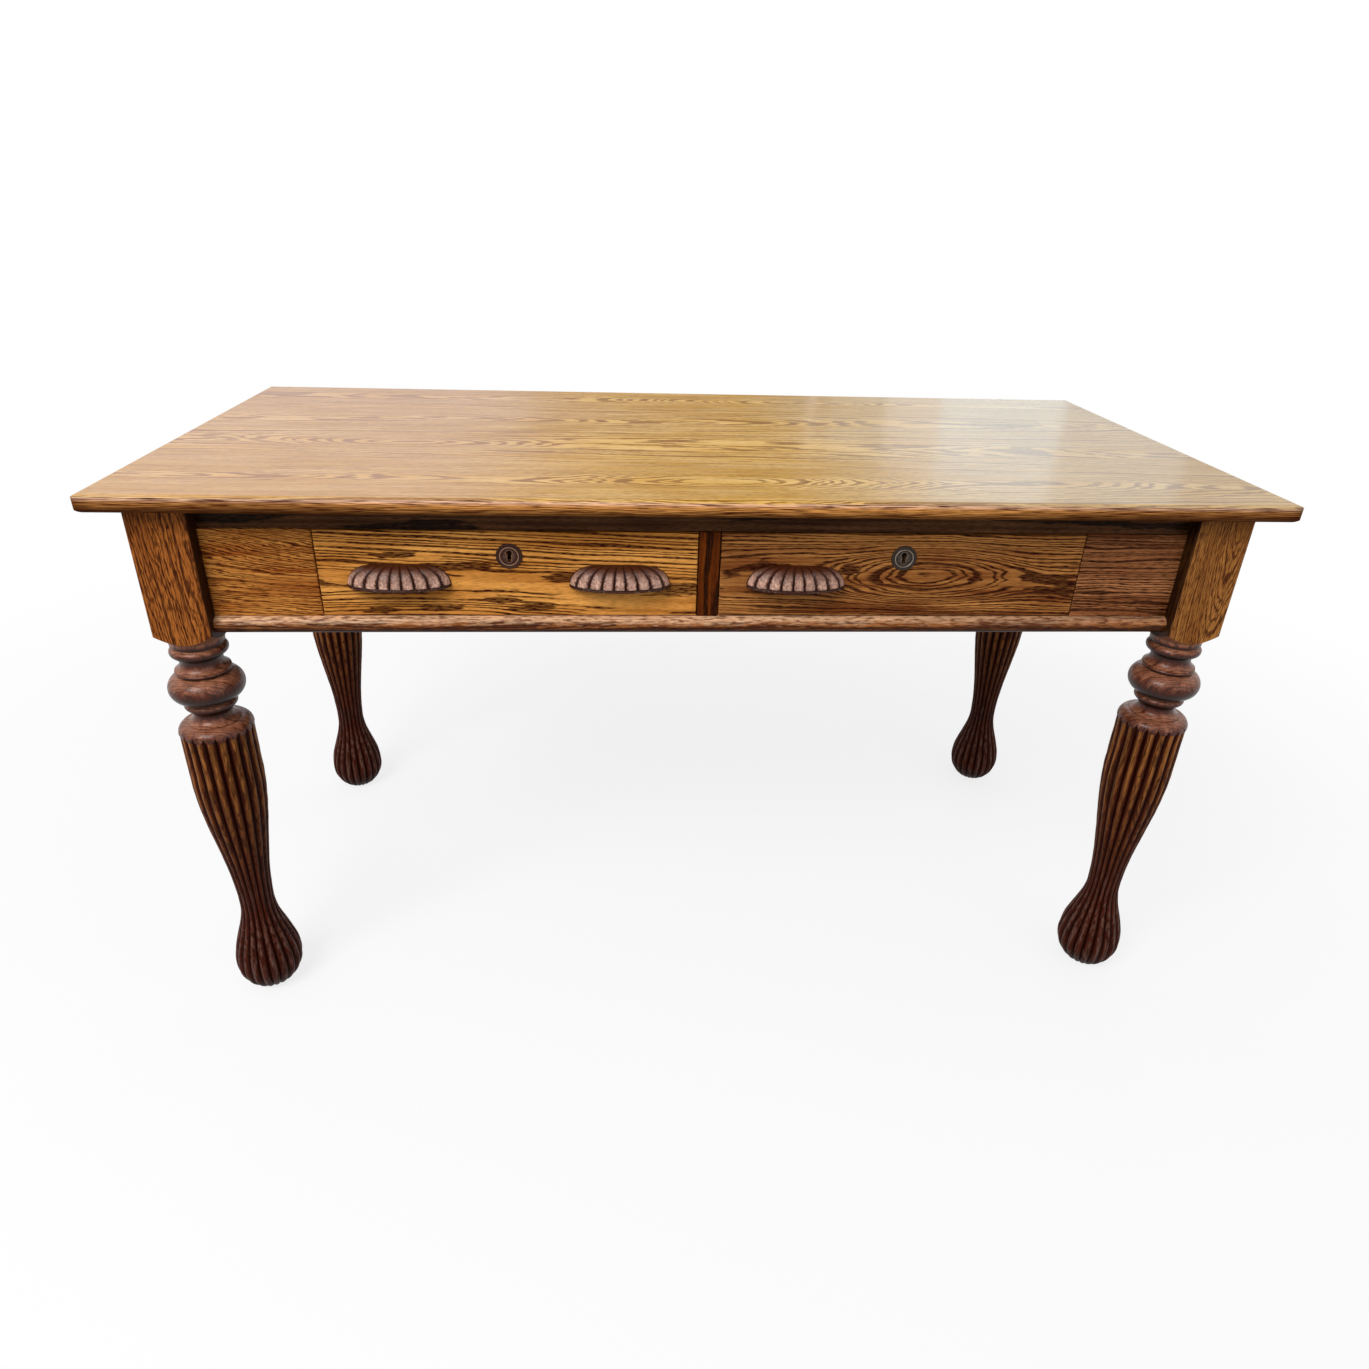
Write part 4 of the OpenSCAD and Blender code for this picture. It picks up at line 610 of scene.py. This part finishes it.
leg_places = {"front_left_leg": (-LEG_X, -LEG_Y), "front_right_leg": (LEG_X, -LEG_Y),
              "back_left_leg": (-LEG_X, LEG_Y), "back_right_leg": (LEG_X, LEG_Y)}
block_tones = {"front_left_leg": ("#b46a2e", "#985522", "#401c08"),
               "front_right_leg": ("#b4783c", "#985e2a", "#4e260e"),
               "back_left_leg": ("#8a5526", "#7a4a22", "#40200e"),
               "back_right_leg": ("#8a5526", "#7a4a22", "#40200e")}
for seed, (node, (middle_x, middle_y)) in enumerate(leg_places.items()):
    words = node.replace("_", " ")
    straight = dict(order="ZXY", ring=2.4, sway=(3, 6), lean=(0.03, 0.02), seed=83 + 7 * seed, ragged=1.3,
                    line=0.36)
    reeded = carved_wood(f"worn stained oak, reeds of {words}", "#1e0500", "#46190b", "#b4743a", 0.12, 0.5,
                         dict(pith=(0, 60), **straight), mottle_per_m=(400, 400, 45))
    # On the turned rings the worn tone is a painted highlight on upward faces, and the groove tone is painted
    # shade on downward ones.
    turned = carved_wood(f"stained oak, turned rings of {words}", "#180400", "#582410", "#a46a4e", 0.4, 0.43,
                         dict(pith=(20, 70), **straight), rough=0.33, sheen=0.08, coat=0.36, grain=0.7)
    light, tan, dark = block_tones[node]
    inward = -1 if middle_x > 0 else 1

    def dark_inner_sides(tree, colour, coat):
        """Darkens the sides of the block that face into the table nearly to black."""
        across = put(tree, "TexCoord", out="Object")
        across = put(tree, "SeparateXYZ", {0: across}, out="X")
        across = put(tree, "Math", {0: across, 1: inward}, operation="MULTIPLY")
        inner = put(tree, "MapRange", {0: across, 1: CORNER_X, 2: INNER_SIDE_X, 3: 0, 4: INNER_DARKENING})
        return put(tree, "Mix", {0: inner, 6: colour, 7: linear("#1c0b06")}, out=2, data_type="RGBA"), coat

    if middle_x > 0:
        sawn = dict(straight, pith=(18, 45), ring=2.1, lean=(0, 0.1), ragged=0.7, line=0.32)
    else:
        sawn = dict(straight, pith=(90, 110))
    block = planed_wood(f"stained oak, block of {words}", light, tan, dark, sawn, sheen=0.04, coat=0.03,
                        fleck=0.8, patina=dark_inner_sides)
    leg = leg_mesh(f"turned_{node}", 3 * seed, (reeded, turned, block))
    leg.location = (middle_x / MM_PER_M, middle_y / MM_PER_M, 0)
    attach(leg, "frame")
    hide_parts(node)


# The rails, panels and stile stand on their edges between the legs. They are planed oak under the
# same stain: gold on the end panels, dark brown on the rail over the drawers and on the stile. Of so
# little varnish as is left the eye sees hardly any gloss.
panel_figures = {
    "left_end_panel": ("#da9446", "#a65a20", "#421202",
                       dict(order="XZY", pith=(535, -320), ring=2.3, lean=(0.08, 0), sway=(4, 4), seed=11,
                            ragged=1.2, bends=3, line=0.46, swells=((-620, 705, 190, 62, -16),))),
    "right_end_panel": ("#bc7c4e", "#7c4626", "#240800",
                        dict(order="XZY", pith=(590, -320), ring=2.9, sway=(4, 5), seed=17, ragged=0.8,
                             bends=3.4, line=0.46)),
    "top_rail": ("#704a2e", "#3a1d0c", "#120500",
                 dict(order="XZY", pith=(700, -160), ring=3.4, sway=(4, 10), seed=29)),
    "centre_stile": ("#7c3a08", "#4a1c04", "#180500",
                     dict(order="ZXY", pith=(30, -200), ring=4, sway=(3, 8), seed=31)),
    "left_apron": ("#9c6428", "#8a5622", "#48240d",
                   dict(order="YZX", pith=(640, -560), ring=3.4, lean=(0.03, 0.04), sway=(5, 12), seed=37)),
    "right_apron": ("#9c6428", "#8a5622", "#48240d",
                    dict(order="YZX", pith=(640, 560), ring=3.4, lean=(-0.03, 0.04), sway=(5, 12), seed=41)),
    "back_apron": ("#9c6428", "#8a5622", "#48240d",
                   dict(order="XZY", pith=(655, 215), ring=3.4, lean=(0.02, 0.02), sway=(8, 14), seed=43)),
}
for name, (light, tan, dark, figure) in panel_figures.items():
    panel = planed_wood(f"stained oak, {name.replace('_', ' ')}", light, tan, dark, figure, sheen=0.03,
                        coat=0.03, fleck=0.5)
    finish([name], panel)


# The bottom rail is a moulded oak strip under the drawers. Its upper side is pale, more so at the
# left, partly rubbed by sleeves, knees and drawers and partly a painted reflection of the sky, and
# its lower side is painted darker as shade. Oak buttons, screwed up into the top, hold it to the frame.
RUB_PER_M, RUB_WAVE = (60, 420, 480), 0.02
RUB_AND_SHEEN_START_Z, RUB_AND_SHEEN_FULL_Z, RUB_AND_SHEEN = 0.6005, 0.6085, 0.85
LESS_START_X, LEAST_X, LEAST_RUBBED = 0.1, 0.55, 0.4
UNDERSIDE_SHADE_Z, UNDERSIDE_SHADE_END_Z, UNDERSIDE_SHADE = 0.592, 0.5995, 0.9
BLOTS_PER_M, BLOTS = (80, 420, 420), 0.85


def nose_wear_and_painted_light(tree, colour, coat):
    """Long pale streaks, about 17 by 2 mm, on the rail's upper side, partly wear and partly a painted
    reflection, brown blots of old stain, about 12 by 2 mm, between them, and painted shade on its lower
    side."""
    place = put(tree, "TexCoord", out="Object")
    streaky = put(tree, "VectorMath", {0: place, 1: RUB_PER_M}, operation="MULTIPLY")
    streaky = put(tree, "TexNoise", {"Vector": streaky, "Scale": 1, "Detail": 4})
    height = put(tree, "SeparateXYZ", {0: place}, out="Z")
    height = put(tree, "Math", {0: streaky, 1: RUB_WAVE, 2: height}, operation="MULTIPLY_ADD")
    # Pale streaks on the upper side: partly wear, partly a painted reflection of the sky.
    pale = put(tree, "MapRange", {0: height, 1: RUB_AND_SHEEN_START_Z, 2: RUB_AND_SHEEN_FULL_Z, 3: 0, 4: RUB_AND_SHEEN})
    along = put(tree, "SeparateXYZ", {0: place}, out="X")
    less = put(tree, "MapRange", {0: along, 1: LESS_START_X, 2: LEAST_X, 3: 1, 4: LEAST_RUBBED})
    pale = put(tree, "Math", {0: pale, 1: less}, operation="MULTIPLY")
    blots = put(tree, "VectorMath", {0: place, 1: BLOTS_PER_M}, operation="MULTIPLY")
    blots = put(tree, "TexNoise", {"Vector": blots, "Scale": 1, "Detail": 3})
    blots = put(tree, "MapRange", {0: blots, 1: 0.47, 2: 0.64, 3: 0, 4: BLOTS})
    # Painted shade: the rail's lower side is darkened where it turns down and away from the light.
    under = put(tree, "MapRange", {0: height, 1: UNDERSIDE_SHADE_Z, 2: UNDERSIDE_SHADE_END_Z, 3: UNDERSIDE_SHADE, 4: 0})
    for share, tone in ((pale, "#ecbc92"), (blots, "#5c2c14"), (under, "#2a0e02")):
        colour = put(tree, "Mix", {0: share, 6: colour, 7: linear(tone)}, out=2, data_type="RGBA")
    return colour, coat


rail = planed_wood("rubbed oak, bottom rail", "#ac6c3a", "#864c22", "#301006",
                   dict(order="XZY", pith=(560, -230), ring=3.0, sway=(4, 10), seed=23),
                   sheen=0.05, coat=0.1, patina=nose_wear_and_painted_light)
finish(["bottom_rail"], rail)
buttons = planed_wood("plain oak, buttons", "#a9702c", "#9c6428", "#5a3010",
                      dict(order="XYZ", pith=(0, 400), ring=3.0, seed=47), coat=0)
finish(["top_buttons"], buttons)


# Inside the frame everything is bare pine: runners, kickers, guides and stops, and the sides, backs
# and bottoms of the drawers. It is planed and gone brown with age.
def bare_pine(name, figure):
    """Planed pine without varnish. The eye sees a matt, even tan with a faint darker grain."""
    return planed_wood(name, "#c39a62", "#b98d56", "#96683a", figure, rough=0.7, sheen=0.1, coat=0,
                       relief=0.15)


inner_wood = bare_pine("bare pine, runners", dict(order="YXZ", pith=(0, 400), ring=4.0, seed=53))
for where in ("left", "centre", "right"):
    finish([f"{where}_runner", f"{where}_kicker", f"{where}_guide"], inner_wood)
finish(["drawer_stops"], inner_wood)


# Each drawer has an oak front, with bold flat sawn grain, dovetailed to pine sides. The pine back is
# dovetailed too, and the bottom slides into grooves and is screwed to the back. The pale lenses on
# the fronts are late wood, and the dark ones are where old stain has sunk into the early wood.
front_figures = {
    "left": ("#fab058", "#c67e34", "#320600",
             dict(order="XZY", pith=(627, -313), ring=4.3, lean=(0.035, 0.02), sway=(4, 5), seed=61,
                  line=0.48,
                  swells=((-309, 667, 60, 14, -4), (-176, 650, 60, 14, -4), (-350, 598, 300, 50, 15)),
                  lenses=((-105, 604, 80, 8, 0), (-300, 627, 60, 6, 0), (-250, 647, 105, 10, 0),
                          (-130, 623, 80, 13, 0), (-50, 618, 70, 12, 0), (-445, 650, 34, 10, 0),
                          (-345, 677, 30, 6, 0), (-378, 679, 34, 5, 1), (-304, 665, 56, 8, 1),
                          (-180, 651, 30, 9, 1), (-26, 638, 34, 8, 1), (-401, 608, 34, 5, 1),
                          (-330, 611, 38, 6, 1), (-255, 621, 32, 5, 1), (-214, 611, 38, 7, 1)))),
    "right": ("#c98848", "#7c441e", "#2a0500",
              dict(order="XZY", pith=(658, -321), ring=3.4, lean=(0.02, -0.02), sway=(6, 6), seed=67,
                   line=0.46, bends=3.0, ragged=0.8,
                   swells=((272, 655, 165, 55, -27), (106, 678, 80, 14, -4)),
                   lenses=((106, 675, 52, 7, 0), (36, 642, 34, 13, 0), (395, 645, 34, 4, 0),
                           (338, 651, 11, 4, 1), (448, 635, 46, 7, 1), (176, 662, 16, 10, 1)))),
}
for side, (light, tan, dark, figure) in front_figures.items():
    drawer = f"{side} drawer"
    front = planed_wood(f"stained oak, {drawer} front", light, tan, dark, figure, sheen=0.03, coat=0.03)
    sides = bare_pine(f"bare pine, {drawer} sides", dict(order="YZX", pith=(650, 900), ring=4.2, seed=71))
    back = bare_pine(f"bare pine, {drawer} back", dict(order="XZY", pith=(650, 120), ring=4.2, seed=73))
    bottom = bare_pine(f"bare pine, {drawer} bottom", dict(order="XYZ", pith=(0, 480), ring=5.0, seed=79))
    finish([f"{side}_drawer_front"], front)
    finish([f"{side}_drawer_left_side", f"{side}_drawer_right_side"], sides)
    finish([f"{side}_drawer_back"], back)
    finish([f"{side}_drawer_bottom"], bottom)


# Each keyhole plate is a turned bronze disc with a rounded rim and a thin raised ring, let into the
# drawer front. Sizes are in millimetres, and its section runs from the hollow under the rim round to
# the middle as radius, height over the front, and how far it stands out to be rubbed, from 0 to 1.
PLATE_X, PLATE_Y, PLATE_Z = 242.25, -287, 678.53
PLATE_COLUMNS = 120
PLATE_DEEP = 3
PLATE_SMOOTH = 45
KEY_R, KEY_SLOT_HALF, KEY_UP, KEY_DOWN = 3.5, 2.3, 3.67, 7.33
KEY_EDGES = ((0.5, 0.9, 0.5), (0.12, 0.8, 0.9), (0, 0.5, 0.2), (0, -PLATE_DEEP, 0))
FAR_OFF = 99
plate_section = [(12.25, -PLATE_DEEP, 0), (12.25, -0.1, 0), (15.9, 0, 0.1), (16, 0.5, 0), (15.8, 1.2, 0.1),
                 (15.2, 1.8, 0.25), (14.4, 2.0, 0.35), (13.6, 1.8, 0.25), (12.9, 1.35, 0.1), (12.4, 1.3, 0),
                 (12.15, 1.5, 0.3), (11.9, 2.1, 0.8), (11.4, 2.6, 1), (10.9, 2.6, 1), (10.4, 2.1, 0.8),
                 (10.15, 1.4, 0.3), (9.9, 1.0, 0), (9.2, 0.85, 0.2), (8.4, 0.9, 0.35)]


def keyhole_radius(turn):
    """Distance from the middle of the plate to the edge of the keyhole, a round hole over a slot."""
    across, up = math.cos(turn), math.sin(turn)
    to_side = KEY_SLOT_HALF / abs(across) if abs(across) > 1e-9 else FAR_OFF
    to_end = (KEY_UP / up if up > 0 else KEY_DOWN / -up) if abs(up) > 1e-9 else FAR_OFF
    reach = min(to_side, to_end)
    x, z = reach * across, reach * up - KEY_UP
    if x * x + z * z < KEY_R ** 2:
        middle = KEY_UP * up
        reach = middle + math.sqrt(max(middle ** 2 - KEY_UP ** 2 + KEY_R ** 2, 0))
    return reach


def plate_mesh(name, middle_x, material):
    """Builds a plate in rings from its back round the rim to the keyhole and back through it."""
    turns = [2 * math.pi * i / PLATE_COLUMNS for i in range(PLATE_COLUMNS)]
    rings = [([radius] * PLATE_COLUMNS, rise, crest) for radius, rise, crest in plate_section]
    holes = [keyhole_radius(turn) for turn in turns]
    rings += [([hole + wider for hole in holes], rise, crest) for wider, rise, crest in KEY_EDGES]
    points = [(middle_x + r * math.cos(t), PLATE_Y - rise, PLATE_Z + r * math.sin(t))
              for radii, rise, _ in rings for t, r in zip(turns, radii)]
    faces = [tuple(reversed(face)) for face in grid_faces(len(rings), PLATE_COLUMNS)]
    back = (len(rings) - 1) * PLATE_COLUMNS
    for i in range(PLATE_COLUMNS):
        after = (i + 1) % PLATE_COLUMNS
        faces.append((i, back + i, back + after, after))
    piece = new_piece(name, [Vector(p) / MM_PER_M for p in points], faces, material, PLATE_SMOOTH)
    give_crests(piece, [crest for _, _, crest in rings for _ in range(PLATE_COLUMNS)])
    return piece


SPOTS_PER_M = 420
CAST_RELIEF = 0.0002


def dark_bronze(name, dull, rubbed):
    """Cast and turned bronze, gone brown. The eye sees a rough dark skin in spots of about 2.4 mm,
    and a brighter, smoother metal where keys and fingers have rubbed the ring and the keyhole."""
    material = bpy.data.materials.new(name)
    tree = bare_tree(material)
    crest = put(tree, "Attribute", attribute_name="crest").node.outputs["Fac"]
    place = put(tree, "TexCoord", out="Object")
    spots = put(tree, "TexNoise", {"Vector": place, "Scale": SPOTS_PER_M, "Detail": 3})
    bright = put(tree, "Math", {0: spots, 1: 0.5, 2: crest}, operation="MULTIPLY_ADD")
    bright = put(tree, "MapRange", {0: bright, 1: 0.6, 2: 1.25})
    skin = put(tree, "Mix", {0: bright, 6: linear(dull), 7: linear(rubbed)}, out=2, data_type="RGBA")
    bump = put(tree, "Bump", {"Strength": 0.3, "Distance": CAST_RELIEF, "Height": spots})
    rough = put(tree, "MapRange", {0: bright, 3: 0.6, 4: 0.36})
    shader = put(tree, "BsdfPrincipled",
                 {"Base Color": skin, "Metallic": 0.75, "Roughness": rough, "Normal": bump})
    put(tree, "OutputMaterial", {"Surface": shader})
    return material


for drawer, middle_x, dull, rubbed in (("left", -PLATE_X, "#3a2118", "#a87f66"),
                                       ("right", PLATE_X, "#362c25", "#93857a")):
    bronze = dark_bronze(f"dark bronze, {drawer} plate", dull, rubbed)
    plate = plate_mesh(f"turned_{drawer}_keyhole_plate", middle_x, bronze)
    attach(plate, f"{drawer}_drawer")
    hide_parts(f"{drawer}_escutcheon")


# Behind each plate a brass lock case is let into the back of the drawer front, with two screws and
# a bolt that the key lifts into the rail above. The other screws are plain steel. All are dull.
BRUSHING_PER_M = (200, 3000, 3000)
BRUSHED_RELIEF = 0.0001


def dull_metal(name, clean, stained, rough, stains_per_m):
    """Drawn or cast metal. The eye sees fine brushing, about 5 mm long and 0.3 mm wide, and brown
    tarnish in spots of about 5 mm, rougher than the clean metal."""
    material = bpy.data.materials.new(name)
    tree = bare_tree(material)
    place = put(tree, "TexCoord", out="Object")
    stains = put(tree, "TexNoise", {"Vector": place, "Scale": stains_per_m, "Detail": 4})
    stains = put(tree, "MapRange", {0: stains, 1: 0.4, 2: 0.65})
    skin = put(tree, "Mix", {0: stains, 6: linear(clean), 7: linear(stained)}, out=2, data_type="RGBA")
    brushed = put(tree, "VectorMath", {0: place, 1: BRUSHING_PER_M}, operation="MULTIPLY")
    brushed = put(tree, "TexNoise", {"Vector": brushed, "Scale": 1, "Detail": 1})
    bump = put(tree, "Bump", {"Strength": 0.2, "Distance": BRUSHED_RELIEF, "Height": brushed})
    roughness = put(tree, "MapRange", {0: stains, 3: rough, 4: rough + 0.25})
    shader = put(tree, "BsdfPrincipled",
                 {"Base Color": skin, "Metallic": 1, "Roughness": roughness, "Normal": bump})
    put(tree, "OutputMaterial", {"Surface": shader})
    return material


# The brass is very dark, partly tarnish and partly painted shade, so that the lock shows black through the
# keyhole.
brass = dull_metal("tarnished brass, locks", "#54401e", "#1e1408", 0.5, 160)
steel = dull_metal("dull steel, screws", "#8d8a86", "#4d3a2a", 0.4, 220)
for side in ("left", "right"):
    finish([f"{side}_lock_case", f"{side}_lock_bolt", f"{side}_lock_screws"], brass)
    finish([f"{side}_drawer_bottom_screws", f"{side}_drawer_pull_screws"], steel)
finish(["top_screws"], steel)


# Each pull is a half melon of dark walnut with nine carved lobes, a thin rim, and a hollow for the
# fingertips below. It is screwed on through the drawer front. The left drawer has two, the right one.
PULL_HALF, PULL_OUT, PULL_HEIGHT = 62, 26, 28
PULL_RIM = 3
PULL_LOBES = 9
PULL_SMOOTH = 50
LOBE_COLUMNS = 14
LOBE_CUT = 2.2
LOBE_START, LOBE_INSET = 2.2, 1.2
HOLLOW_HALF, HOLLOW_OUT, HOLLOW_HEIGHT, HOLLOW_BACK = 46, 17, 22, 3
PULL_Y, PULL_Z = -287, 640.2
RIM_SECTION = ((0, 0.7), (0.2, 0.25), (0.7, 0), (1.7, 0), (2.5, 0.1), (2.9, 0.5), (PULL_RIM, 1.2),
               (3.3, 1.35))
LOBE_RISES = (7.8, 9.5, 12, *range(16, 88, 4), 88.5)
HOLLOW_RISES = (0, 12, 24, 36, 48, 60, 72, 82)
pull_places = (("left", "left", -375.25), ("left", "right", -109.25), ("right", "left", 109.25))


def melon_point(half, out, height, z, share, inset=0.0):
    """A point on a half melon's skin at a height, for a share of the way round its outline."""
    t = 2 * share - 1
    turn = math.pi / 2 * (1 + t + (t ** 3 - t) / 3)
    fall = math.sqrt(max(1 - (z / height) ** 2, 0))
    return -(half - inset) * fall ** 0.45 * math.cos(turn), -(out - inset) * fall ** 0.8 * math.sin(turn), z


def pull_mesh(name, middle_x, material):
    """Builds a pull from two shells: the carved outside from the rim up, and the hollow inside it."""
    steps = PULL_LOBES * LOBE_COLUMNS
    columns = steps + 1
    points, crests = [], []
    for z, inset in RIM_SECTION:
        points += [melon_point(PULL_HALF, PULL_OUT, PULL_HEIGHT, z, i / steps, inset) for i in range(columns)]
        crests += [0.4 if inset < 0.3 else 0.1] * columns
    for rise in LOBE_RISES:
        z = PULL_HEIGHT * math.sin(math.radians(rise))
        swell = min(1, (z - PULL_RIM) / LOBE_START)
        for i in range(columns):
            across = 2 * (i % LOBE_COLUMNS) / LOBE_COLUMNS - 1
            inset = 0 if i in (0, steps) else LOBE_INSET * (1 - swell) ** 2 + LOBE_CUT * abs(across) ** 4.5
            points.append(melon_point(PULL_HALF, PULL_OUT, PULL_HEIGHT, z, i / steps, inset))
            crests.append(0.84 * (1 - abs(across) ** 4))
    rows = len(RIM_SECTION) + len(LOBE_RISES)
    faces = [tuple(reversed(face)) for face in grid_faces(rows, columns, closed=False)]
    last = (rows - 1) * columns
    faces.append(tuple(last + i for i in reversed(range(columns))))
    faces.append(tuple([row * columns + steps for row in reversed(range(rows))]
                       + [row * columns for row in range(rows)]))

    base = len(points)
    for rise in HOLLOW_RISES:
        z = HOLLOW_HEIGHT * math.sin(math.radians(rise))
        for i in range(columns):
            x, y, _ = melon_point(HOLLOW_HALF, HOLLOW_OUT, HOLLOW_HEIGHT, z, i / steps)
            points.append((x, y - HOLLOW_BACK, z))
        crests += [0.3] * columns
    rows = len(HOLLOW_RISES)
    faces += [tuple(base + corner for corner in face) for face in grid_faces(rows, columns, closed=False)]
    last = base + (rows - 1) * columns
    faces.append(tuple(last + i for i in range(columns)))
    faces.append(tuple([base + row * columns + steps for row in range(rows)]
                       + [base + row * columns for row in reversed(range(rows))]))
    faces += [(i, i + 1, base + i + 1, base + i) for i in range(steps)]
    faces.append((0, base, base + steps, steps))
    middle = Vector((middle_x, PULL_Y, PULL_Z))
    piece = new_piece(name, [(Vector(p) + middle) / MM_PER_M for p in points], faces, material, PULL_SMOOTH)
    give_crests(piece, crests)
    return piece


# The walnut is oiled, with hardly any grain under the stain. The eye sees lobes of a pale pinkish
# brown, partly rubbed by fingers and partly a painted highlight that is stronger low down, and dark
# cuts between them.
walnut = carved_wood("carved walnut, pulls", "#1c0600", "#48200f", "#e8b8a2", 0.668, 0.648,
                     dict(order="XZY", pith=(620, -240), ring=3, sway=(2, 4), seed=101),
                     rough=0.38, sheen=0.12, coat=0.12, grain=0.3, mottle_per_m=(420, 420, 300))
for drawer, where, middle_x in pull_places:
    pull = pull_mesh(f"carved_{drawer}_drawer_{where}_pull", middle_x, walnut)
    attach(pull, f"{drawer}_drawer")
    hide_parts(f"{drawer}_drawer_{where}_pull")
